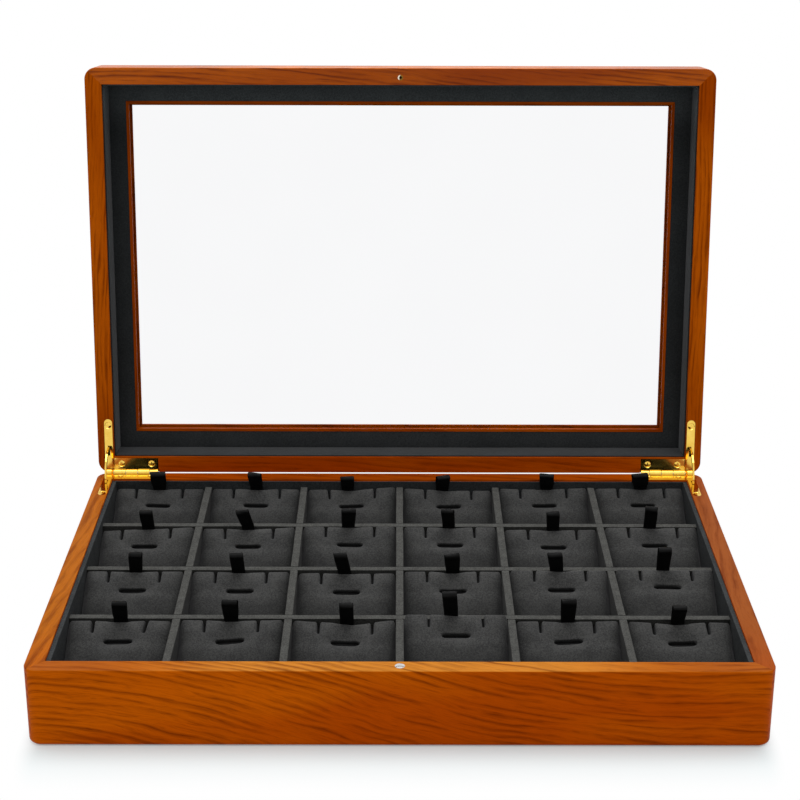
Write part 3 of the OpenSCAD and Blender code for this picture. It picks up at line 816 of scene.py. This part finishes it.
def line_walls(body, low, high, end_t, side_t, cloth, turn=None):
    """Four lined boards round a space: the front and rear ones run from side to side."""
    play = LINING_PLAY * MM
    front = low.y + end_t
    rear = high.y - end_t
    boards = {
        "front": ((low.x, low.y, low.z), (high.x, front, high.z)),
        "rear": ((low.x, rear, low.z), (high.x, high.y, high.z)),
        "left": ((low.x, front + play, low.z), (low.x + side_t, rear - play, high.z)),
        "right": ((high.x - side_t, front + play, low.z), (high.x, rear - play, high.z)),
    }
    for k, (side, (corner, far)) in enumerate(boards.items()):
        name = f"{body}_{side}_lining"
        piece = covered_board(name, corner, far, LINING_EDGE_R * MM, k * 3.1, turn)
        finish_piece(piece, body, cloth, [body + "_wall_linings"])


def make_linings(cloth, lid_cloth):
    low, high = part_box("base_wall_linings")
    line_walls("base", low, high, END_LINING_T * MM, SIDE_LINING_T * MM, cloth)
    low, high = shut_box("lid_wall_linings")
    line_walls("lid", low, high, LID_LINING_T * MM, LID_LINING_T * MM, lid_cloth, OPEN_TURN)
    low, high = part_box("floor_lining")
    floor = covered_board("base_floor_lining", low, high, FLOOR_EDGE_R * MM, seed=9.3)
    finish_piece(floor, "base", cloth, ["floor_lining"])
    finish_piece(make_border(), "lid", lid_cloth, ["lid_border_lining"])


def make_border():
    """The cloth-covered frame round the window: a plate whose middle is inset and cut out."""
    low, high = shut_box("lid_border_lining")
    obj = cube("lid_window_border", low, high)
    hole = border_width(low)
    only(obj)
    bpy.ops.object.mode_set(mode="EDIT")
    choose(obj, "FACE", lambda f: abs(f.normal.z) > 0.9)
    bpy.ops.mesh.inset(thickness=hole, depth=0)
    bpy.ops.mesh.bridge_edge_loops()
    bpy.ops.object.mode_set(mode="OBJECT")
    round_edges(obj, BORDER_EDGE_R * MM, 3)
    obj.data.transform(OPEN_TURN)
    smooth(obj)
    return obj


def border_width(low):
    """How far the border reaches in from the lid's wall to the edge of its opening."""
    back = OPEN_TURN.inverted()
    points = [back @ v.co for v in frame["nodes"]["lid_border_lining"].data.vertices]
    opening = min(p.x for p in points if p.x > low.x + MM)
    return opening - low.x


def make_dividers(cloth):
    """Covered boards, half-lapped: the long ones lie over the cross ones."""
    crossings_x = [centre_of(f"cross_divider_{i}").x for i in range(1, COLUMNS)]
    crossings_y = [centre_of(f"long_divider_{j}").y for j in range(1, ROWS)]
    half_z = (divider_low.z + divider_high.z) / 2
    half_t = DIVIDER_T / 2
    seam = LAP_SEAM * MM
    play = LAP_PLAY * MM
    for i in range(1, COLUMNS):
        low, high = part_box(f"cross_divider_{i}")
        slots = [
            ((low.x - MM, y - half_t, half_z), (high.x + MM, y + half_t + seam, high.z + MM))
            for y in crossings_y
        ]
        divider_board(f"cross_board_{i}", f"cross_divider_{i}", slots, i * 2.3, cloth)
    for j in range(1, ROWS):
        low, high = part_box(f"long_divider_{j}")
        slots = [
            ((x - half_t - play, low.y - MM, low.z - MM), (x + half_t + play, high.y + MM, half_z))
            for x in crossings_x
        ]
        divider_board(f"long_board_{j}", f"long_divider_{j}", slots, 20 + j * 2.3, cloth)


def divider_board(name, node, slots, seed, cloth):
    """A cloth-covered divider with its half laps cut out, and an edge that isn't quite straight."""
    low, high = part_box(node)
    obj = cube(name, low, high)
    for corner, far in slots:
        cutter = cube("cutter", corner, far)
        finish_with(obj, "BOOLEAN", object=cutter, operation="DIFFERENCE", solver="EXACT")
        bpy.data.objects.remove(cutter)
    size = high - low
    longest = 0 if size.x > size.y else 1
    steps = round(size[longest] / (5 * MM))
    only(obj)
    bpy.ops.object.mode_set(mode="EDIT")
    across = Vector((0, 0, 0))
    across[longest] = 1
    for k in range(1, steps):
        at = low.copy()
        at[longest] += size[longest] * k / steps
        cut(at, across)
    bpy.ops.object.mode_set(mode="OBJECT")
    round_edges(obj, DIVIDER_EDGE_R * MM, 4)
    waver(obj, 0.12 * MM, 18 * MM, seed)
    smooth(obj)
    finish_piece(obj, "base", cloth, [node])


# Pads. A pad is made in its own space: X is 0 at its middle, Y is 0 at its front and Z is 0 under
# it, all in millimetres times BENCH.


def on_slope(x, s, depth=0.0):
    """A point s millimetres up the slope from its front edge, at a depth square to it."""
    y = s * math.cos(SLOPE) + depth * math.sin(SLOPE)
    z = PAD_FRONT_H + s * math.sin(SLOPE) - depth * math.cos(SLOPE)
    return Vector((x, y, z)) * BENCH


SLOPE_NORMAL = Vector((0, -math.sin(SLOPE), math.cos(SLOPE)))
SLOPE_UP = Vector((0, math.cos(SLOPE), math.sin(SLOPE)))
SLOT_S = SLOPE_L - SLOT_FROM_REAR


def slope_of(points):
    """For points in a pad's own space: X, the distance up the slope and the depth under it."""
    real = points / BENCH
    y = real[:, 1]
    z = real[:, 2] - PAD_FRONT_H
    s = y * math.cos(SLOPE) + z * math.sin(SLOPE)
    depth = y * math.sin(SLOPE) - z * math.cos(SLOPE)
    return real[:, 0], s, depth


def pad_blank():
    """The foam wedge with its edges rounded, cut into faces along the slot and the notches."""
    obj = cube(
        "pad_pattern",
        Vector((-PAD_W / 2, 0, 0)) * BENCH,
        Vector((PAD_W / 2, PAD_D, PAD_REAR_H)) * BENCH,
    )
    only(obj)
    bpy.ops.object.mode_set(mode="EDIT")
    choose(obj, "VERT", lambda v: v.co.y < 0.001 and v.co.z > 0.01)
    bpy.ops.transform.translate(value=(0, 0, (PAD_FRONT_H - PAD_REAR_H) * BENCH))
    choose(obj, "EDGE", lambda e: middle(e).z > 0.001)
    bpy.ops.mesh.bevel(offset=PAD_EDGE_R * BENCH, segments=3, affect="EDGES", clamp_overlap=True)
    half_slot = SLOT_L / 2
    lip = NOTCH_W / 2
    notch_floor = NOTCH_FLOOR_W / 2
    columns = [0, 1.9, 3.8, half_slot - SLOT_END_R, half_slot, half_slot + 1.7]
    columns += [NOTCH_X + off for off in (-1.9, -lip, -notch_floor, notch_floor, lip, 1.9)]
    columns += [17.3, 19.7, 22]
    for x in columns:
        for side in (-1, 1) if x else (1,):
            cut((side * x * BENCH, 0, 0), (1, 0, 0))
    rows = [2.6, 5.2, 8, 10.8, 13.6, 16.4, 19.2, 22, 24.8, 27.6, 30.4, 33.2, 35.8, 38]
    rows += [SLOT_S - SLOT_W / 2 - 1.2, SLOT_S - SLOT_W / 2, SLOT_S, SLOT_S + SLOT_W / 2]
    rows += [SLOT_S + SLOT_W / 2 + 1.3, SLOPE_L - NOTCH_L, SLOPE_L - NOTCH_L + 0.9]
    rows += [SLOPE_L - 4.4, SLOPE_L - 2.9]
    for s in rows:
        cut(on_slope(0, s), SLOPE_UP)
    for depth in (3, NOTCH_DEPTH + 0.4, 8, 13, 18):
        cut(on_slope(0, SLOPE_L, depth), SLOPE_NORMAL)
    bpy.ops.mesh.select_all(action="SELECT")
    bpy.ops.mesh.remove_doubles(threshold=0.02 * BENCH)
    bpy.ops.mesh.normals_make_consistent(inside=False)
    bpy.ops.object.mode_set(mode="OBJECT")
    return obj


def hold(obj, name, chosen):
    """Puts the chosen points in a vertex group."""
    group = obj.vertex_groups.new(name=name)
    group.add([int(i) for i in np.flatnonzero(chosen)], 1.0, "REPLACE")


def mark_pad(obj):
    """Names the points of the slot, of the notches and of what the cloth is glued to."""
    points = points_of(obj)
    x, s, depth = slope_of(points)
    on_top = depth < 0.2
    in_slot = on_top & (np.abs(x) < SLOT_L / 2 + 0.1) & (np.abs(s - SLOT_S) < SLOT_W / 2 + 0.1)
    in_notch = np.abs(np.abs(x) - NOTCH_X) < NOTCH_FLOOR_W / 2 + 0.1
    in_notch &= s > SLOPE_L - NOTCH_L + 0.3
    in_notch &= (depth < NOTCH_DEPTH) & (points[:, 2] > 0.05)
    hold(obj, "slot", in_slot)
    at_end = in_slot & (np.abs(x) > SLOT_L / 2 - 0.1)
    nearer = np.where(at_end, (SLOT_S - s) * 0.5, 0)
    put_points(obj, points + np.outer(nearer * BENCH, SLOPE_UP))
    hold(obj, "notch", in_notch)
    hold(obj, "held", in_slot | in_notch | (points[:, 2] < 0.5 * BENCH))


def stretch_cloth(obj):
    """Lets the cover swell over the foam, held down at the slot, the notches and the base."""
    steps = 20
    before = points_of(obj)
    only(obj)
    cloth = obj.modifiers.new("Cover", "CLOTH")
    settings = cloth.settings
    settings.quality = 6
    settings.mass = 0.3
    settings.tension_stiffness = 25
    settings.compression_stiffness = 25
    settings.bending_stiffness = 2
    settings.use_pressure = True
    settings.uniform_pressure_force = 4
    settings.vertex_group_mass = "held"
    settings.effector_weights.gravity = 0
    scene = bpy.context.scene
    for step in range(1, steps + 1):
        scene.frame_set(step)
    bpy.ops.object.modifier_apply(modifier=cloth.name)
    scene.frame_set(1)
    most = COVER_RISE * BENCH
    moved = points_of(obj) - before
    reach = np.linalg.norm(moved, axis=1, keepdims=True)
    put_points(obj, before + moved * np.minimum(1, most / np.maximum(reach, 1e-9)))


def sink_slot(obj):
    """Turns the slot's cover in over its lips, down its walls and up over its floor."""
    group = obj.vertex_groups["slot"].index
    only(obj)
    bpy.ops.object.mode_set(mode="EDIT")
    bpy.ops.mesh.select_mode(type="FACE")
    bpy.ops.mesh.select_all(action="DESELECT")
    mesh = bmesh.from_edit_mesh(obj.data)
    weights = mesh.verts.layers.deform.verify()
    for face in mesh.faces:
        if all(group in v[weights] for v in face.verts):
            face.select_set(True)
    bmesh.update_edit_mesh(obj.data)
    bpy.ops.mesh.inset(thickness=0.15 * BENCH, depth=-0.5 * BENCH)
    drop = -SLOPE_NORMAL * 3.4 * BENCH
    bpy.ops.mesh.extrude_region_move(TRANSFORM_OT_translate={"value": drop})
    bpy.ops.mesh.inset(thickness=0.6 * BENCH, depth=0.9 * BENCH)
    bpy.ops.object.mode_set(mode="OBJECT")


def weight_of(obj, name):
    group = obj.vertex_groups[name].index
    return np.array([any(g.group == group for g in v.groups) for v in obj.data.vertices])


def shape_pad(obj):
    """Presses in the notches, the roll above the slot and the recess for the ribbon's tail."""
    points = points_of(obj)
    x, s, depth = slope_of(points)
    notch = weight_of(obj, "notch")
    into = np.clip((s - (SLOPE_L - NOTCH_L)) / 1.0, 0, 1) * NOTCH_DEPTH
    sink = np.where(notch, np.maximum(into - depth, 0), 0.0)
    lips = np.exp(-(((np.abs(x) - NOTCH_X) / 1.1) ** 2))
    lips = lips * np.clip((s - SLOPE_L + NOTCH_L + 1) / 3, 0, 1)
    near_top = np.clip(1 - depth / 5, 0, 1)
    above = np.exp(-((x / 7.5) ** 4)) * np.exp(-(((s - SLOT_S - 2.2) / 3.2) ** 2)) * 1.15
    below = np.exp(-((x / 8.5) ** 4)) * np.exp(-(((s - SLOT_S + 2.0) / 2.2) ** 2)) * 0.35
    fading = np.clip((SLOPE_L - 1 - s) / 5, 0, 1)
    trough = np.exp(-((x / 8.0) ** 2)) * np.clip((s - SLOT_S) / 6, 0, 1) * fading
    press = (above + below + trough) * near_top + np.where(notch, 0, lips * 0.1 * near_top)
    points = points - np.outer((sink + press) * BENCH, SLOPE_NORMAL)
    behind = points[:, 1] > (PAD_D - 1.2) * BENCH
    tail = behind & (np.abs(x) < 3.9) & (points[:, 2] > (PAD_REAR_H - 13) * BENCH)
    points[:, 1] -= np.where(tail, 0.75 * BENCH, 0)
    put_points(obj, points)


def shade_pad(obj):
    """Painted light and shade on the cover: lighter near the rear edge and darker towards the sides
    and the foot. Painted shade: hardly any light reaches into the slot and the notches."""
    x, s, depth = slope_of(points_of(obj))
    up_slope = np.interp(
        s / SLOPE_L,
        (0, 0.5, 0.56, 0.62, 0.7, 0.8, 0.84, 0.9, 0.95, 1),
        (0.75, 0.97, 1.1, 1.24, 1.62, 1.42, 1.38, 1.66, 1.85, 1.8),
    )
    off_middle = np.abs(x) / (PAD_W / 2)
    to_side = np.interp(off_middle, (0, 0.5, 0.8, 0.9, 0.97, 1), (1, 0.98, 0.84, 0.7, 0.5, 0.4))
    in_slot = (np.abs(x) < SLOT_L / 2) & (np.abs(s - SLOT_S) < SLOT_W / 2 + 0.2)
    in_notch = (np.abs(np.abs(x) - NOTCH_X) < NOTCH_W / 2) & (s > SLOPE_L - NOTCH_L)
    sunk = np.where(in_slot, np.clip((depth - 1.3) / 1.3, 0, 1), 0)
    sunk = np.maximum(sunk, np.where(in_notch, np.clip((depth - 0.5) / 1.2, 0, 1), 0))
    level = up_slope * to_side * (1 - 0.88 * sunk)
    shade = obj.data.attributes.new(SHADE_NAME, "FLOAT", "POINT")
    shade.data.foreach_set("value", level.astype(np.float32))


def make_pad_pattern():
    obj = pad_blank()
    mark_pad(obj)
    stretch_cloth(obj)
    sink_slot(obj)
    shape_pad(obj)
    finish_with(obj, "SUBSURF", levels=1, render_levels=1)
    shade_pad(obj)
    only(obj)
    bpy.ops.object.shade_smooth()
    return obj


# How each pad and its ribbon sit, from the photograph, in millimetres and degrees. Only
# "wide" is a factor.
PLAIN_SEAT = {
    "lift": 0,
    "left_up": 0.2,
    "right_up": 0.2,
    "dip": 0,
    "dip_at": 0,
    "across": 0,
    "slot_up": 0,
    "slot_turn": 0,
    "left_slant": 0,
    "right_slant": 0,
    "ribbon_across": 0,
    "lean": -2,
    "forward": 10,
    "twist": 4,
    "taller": 0,
    "wide": 1,
}


def sits(**given):
    return {**PLAIN_SEAT, **given}


SEATS = {
    "r1c1": sits(
        lift=-0.4, across=-0.7, ribbon_across=-0.6, twist=12, taller=1.2, wide=1.28,
    ),
    "r1c2": sits(
        lift=-0.3, across=0.3, ribbon_across=0.2, lean=-4, twist=-8, taller=0.7, wide=1.08,
    ),
    "r1c3": sits(
        lift=-0.7, right_up=2.2, dip_at=-6, left_slant=0.8, ribbon_across=-2.3, twist=6,
        taller=-1.2, wide=1.14,
    ),
    "r1c4": sits(
        lift=-0.9, left_up=1.2, across=0.6, slot_turn=-1, ribbon_across=-2.9, lean=1, twist=18,
        taller=-0.4, wide=1.12,
    ),
    "r1c5": sits(
        lift=0.1, right_up=0.8, across=0.3, ribbon_across=2.1, twist=-8, taller=-0.2, wide=1.2,
    ),
    "r1c6": sits(
        lift=0.5, across=1.6, ribbon_across=1.3, lean=-8, forward=14, twist=10, taller=0.1,
        wide=1.34,
    ),
    "r2c1": sits(
        lift=-0.5, left_up=-1.2, right_up=1, across=-1.4, slot_turn=1, ribbon_across=-0.1,
        lean=-3, taller=1.8,
    ),
    "r2c2": sits(
        lift=-0.5, right_up=1.3, left_slant=0.5, ribbon_across=-0.2, lean=-14, forward=12,
        taller=2.6,
    ),
    "r2c3": sits(
        lift=1, across=0.4, slot_turn=1, ribbon_across=-0.6, lean=2, forward=14, twist=8,
        taller=1.8, wide=1.12,
    ),
    "r2c4": sits(
        lift=0.8, right_slant=0.3, ribbon_across=-0.6, lean=-4, forward=16, twist=-12,
        taller=2.15,
    ),
    "r2c5": sits(lift=-0.7, across=1.3, ribbon_across=1.6, lean=-3, forward=6, taller=1.3),
    "r2c6": sits(
        lift=0.8, across=1.3, slot_turn=1, ribbon_across=-0.5, lean=-1, forward=16,
        twist=-12, taller=4,
    ),
    "r3c1": sits(lift=0.2, across=-0.5, ribbon_across=0.3, lean=4, twist=0, taller=1.75),
    "r3c2": sits(lift=-0.1, ribbon_across=-1.3, lean=-3, forward=12, taller=1.9),
    "r3c3": sits(lift=-0.7, ribbon_across=-1.1, lean=-10, forward=12, taller=2.7),
    "r3c4": sits(
        lift=0.5, dip=0.6, ribbon_across=0.2, lean=-4, forward=12, twist=10, taller=1.9,
        wide=1.12,
    ),
    "r3c5": sits(
        lift=1.2, across=1, left_slant=-0.4, ribbon_across=-0.8, lean=-9, forward=12, twist=8,
        taller=1.2, wide=1.08,
    ),
    "r3c6": sits(
        lift=1.8, across=0.9, slot_up=1.8, right_slant=0.3, ribbon_across=-0.6, lean=-1, twist=2,
        taller=3.5,
    ),
    "r4c1": sits(
        lift=-0.3, across=-0.2, right_slant=-1.5, ribbon_across=0.2, lean=1, twist=6,
        taller=2, wide=1.05,
    ),
    "r4c2": sits(
        right_up=0.9, across=-0.5, slot_turn=4, left_slant=0.2, ribbon_across=-0.5, lean=0,
        twist=-6, taller=2.6, wide=1.12,
    ),
    "r4c3": sits(
        lift=-0.8, left_up=1, right_up=1.4, dip=1.2, dip_at=8, across=0.8, ribbon_across=1.5,
        lean=-1, twist=0, taller=2.3,
    ),
    "r4c4": sits(
        lift=3.6, left_up=0.4, right_up=0, slot_up=0.5, right_slant=0.5,
        ribbon_across=-2.2, lean=-5, forward=14, taller=4, wide=1.05,
    ),
    "r4c5": sits(
        right_up=0.6, slot_turn=4, ribbon_across=0.3, lean=-1, forward=8, taller=3.2, wide=1.06,
    ),
    "r4c6": sits(
        lift=-0.7, left_up=0.4, dip=0.6, across=0.7, left_slant=0.3, right_slant=0.8,
        ribbon_across=-0.7, lean=1, twist=0, taller=0.9,
    ),
}


def seat_pad(pattern, name, seat):
    """One pad from the pattern, pushed into its cell as this one is, and put in its place."""
    obj = bpy.data.objects.new("cushion_" + name, pattern.data.copy())
    bpy.context.scene.collection.objects.link(obj)
    obj.data.name = obj.name
    points = points_of(obj)
    x, s, depth = slope_of(points)
    half = PAD_W / 2
    near_slot = np.exp(-((x / 9) ** 4) - (((s - SLOT_S) / 6) ** 4)) * np.clip(1 - depth / 9, 0, 1)
    angle = math.radians(seat["slot_turn"]) * near_slot
    turned_x = x * np.cos(angle) - (s - SLOT_S) * np.sin(angle)
    turned_s = SLOT_S + x * np.sin(angle) + (s - SLOT_S) * np.cos(angle)
    turned_s = turned_s + seat["slot_up"] * near_slot
    off_sides = np.clip(1 - (x / half) ** 4, 0, 1) * np.clip(s / 12, 0, 1)
    turned_x = turned_x + seat["across"] * off_sides
    slant = np.clip((SLOPE_L - s) / NOTCH_L, 0, 1) * np.exp(-(((SLOPE_L - s) / 11) ** 4))
    for side, reach in ((-1, seat["left_slant"]), (1, seat["right_slant"])):
        turned_x = turned_x + reach * slant * np.exp(-(((x - side * NOTCH_X) / 4) ** 2))
    real = points / BENCH
    real[:, 0] = turned_x
    real += np.outer(turned_s - s, SLOPE_UP)
    height = PAD_FRONT_H + real[:, 1] * math.tan(SLOPE)
    share = np.clip(real[:, 2] / height, 0, 1.1)
    rearward = np.clip(real[:, 1] / PAD_D, 0, 1)
    to_left = np.clip((4 - real[:, 0]) / (half + 4), 0, 1) ** 1.6
    to_right = np.clip((4 + real[:, 0]) / (half + 4), 0, 1) ** 1.6
    corners = seat["left_up"] * to_left + seat["right_up"] * to_right
    corners = corners - seat["dip"] * np.exp(-(((real[:, 0] - seat["dip_at"]) / 9) ** 2))
    real[:, 2] += (seat["lift"] * rearward**0.5 + corners * rearward**1.8) * share
    seed = sum(ord(c) * (k + 3) for k, c in enumerate(name))
    for i, p in enumerate(real):
        at = Vector(p) / 13 + Vector((seed, 0, seed * 0.5))
        real[i, 2] += noise.noise(at) * 0.35 * share[i]
    low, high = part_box("pad_" + name)
    real = real * MM + np.array(((low.x + high.x) / 2, low.y, low.z))
    put_points(obj, real)
    return obj


def line_to(first, last, steps):
    """Points from the first towards the last, which is left out."""
    return [first + (last - first) * k / steps for k in range(steps)]


def ribbon_path():
    """Side view of a ribbon, in millimetres from the pad's rear top edge: up from its tail, over a
    loop that leans forward, and down beside itself. Each point is (Y, Z)."""
    front_root = Vector((-0.62, 0.8))
    rear_root = Vector((-0.25, 0.8))
    centre = Vector((-2.3, RIBBON_H - RIBBON_LOOP_R))
    arc = [
        centre + RIBBON_LOOP_R * Vector((math.cos(a), math.sin(a)))
        for a in np.radians(np.linspace(205, -25, 15))
    ]
    up = line_to(Vector((front_root.x, -RIBBON_TAIL)), front_root, 3)
    rise = line_to(front_root, arc[0], 6)
    fall = line_to(rear_root, arc[-1], 6)
    down = line_to(Vector((rear_root.x, -RIBBON_TAIL)), rear_root, 3)
    return up + rise + arc + fall[::-1] + down[::-1]


def make_ribbon(name, seat, material):
    """A satin strip laid along its path, leaned and twisted, then given its thickness."""
    path = ribbon_path()
    across = 6
    bpy.ops.object.select_all(action="DESELECT")
    bpy.ops.mesh.primitive_grid_add(x_subdivisions=across, y_subdivisions=len(path) - 1, size=1)
    obj = bpy.context.object
    obj.name = "ribbon_" + name
    obj.data.name = obj.name
    flat = points_of(obj)
    low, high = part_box("pad_" + name)
    edge = Vector(((low.x + high.x) / 2, high.y, low.z + PAD_REAR_H * MM))
    seed = sum(ord(c) * (k + 5) for k, c in enumerate(name)) * 0.37
    tops = max(p.y for p in path)
    for i, (u, v, _) in enumerate(flat):
        step = path[round((v + 0.5) * (len(path) - 1))]
        free = max(0.0, step.y) / tops
        x = u * RIBBON_W * (1 + (seat["wide"] - 1) * min(1, free * 3))
        y = step.x + noise.noise(Vector((u * 1.5 + seed, v * 7, seed))) * 0.5 * free
        z = step.y + noise.noise(Vector((u * 1.2, seed, v * 5))) * 0.4 * free
        z += seat["taller"] * free
        turn = math.radians(seat["twist"]) * free
        away = y + RIBBON_TWIST_FROM
        y = x * math.sin(turn) + away * math.cos(turn) - RIBBON_TWIST_FROM
        x = x * math.cos(turn) - away * math.sin(turn)
        above = max(0.0, z)
        x += math.tan(math.radians(seat["lean"])) * above
        y -= math.tan(math.radians(seat["forward"])) * above
        z += seat["lift"] - seat["dip"] * math.exp(-((seat["dip_at"] / 9) ** 2))
        flat[i] = np.array((x + seat["ribbon_across"], y, z))
    put_points(obj, flat * MM + np.array(edge))
    finish_with(obj, "SOLIDIFY", thickness=RIBBON_T * MM, offset=0)
    finish_with(obj, "SUBSURF", levels=1, render_levels=1)
    only(obj)
    bpy.ops.object.shade_smooth()
    obj.data.materials.append(material)
    return obj


def make_pads():
    # The pads' cover takes the painted light and shade held in its mesh
    pad_cloth = suede("pad_suede", paint(40, 40, 40), paint(61, 61, 60), 9, 0.16, mesh_shading=True)
    satin = satin_ribbon()
    pattern = make_pad_pattern()
    for name, seat in SEATS.items():
        body = f"pad_{name}_body"
        pad = seat_pad(pattern, name, seat)
        finish_piece(pad, body, pad_cloth, ["pad_" + name])
        ribbon = make_ribbon(name, seat, satin)
        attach(ribbon, body)
    bpy.data.objects.remove(pattern)


def dress_bottom():
    dress("bottom_panel", panel_board())
    felt = suede("underside_felt_nap", paint(24, 24, 26), paint(38, 38, 40), 12, 0.2, bump_mm=0.25)
    dress("underside_felt", felt)


make_camera()
make_world()
make_floor()
make_lamp("overhead", at=(0, 0.1, 1.5), aim=(0, 0, 0), size=(1.3, 1.0), power=12)
dress_wood()
dress_metal()
dress("window_glass", window_pane())
dress_bottom()
# Painted shade: the lining's upright faces are darker than its tops
base_cloth = suede("lining_suede", paint(46, 48, 49), paint(69, 72, 73), 14, 0.02, sides=0.5)
# Painted light and shade on the lid's lining, by height: a little lighter low down, darker along
# the middle, lighter at the top end
lid_cloth = suede(
    "lid_lining_suede",
    paint(50, 52, 53),
    paint(66, 68, 69),
    18,
    0.12,
    by_height=[(60, 0.64), (105, 0.48), (232, 0.48), (252, 1)],
)
# Painted shade: the dividers' upright faces are darker than their tops
divider_cloth = suede("divider_suede", paint(60, 60, 58), paint(88, 88, 85), 5, 0.04, sides=0.3)
make_linings(base_cloth, lid_cloth)
make_dividers(divider_cloth)
make_pads()

bpy.context.scene.view_settings.view_transform = "Standard"
bpy.context.view_layer.update()
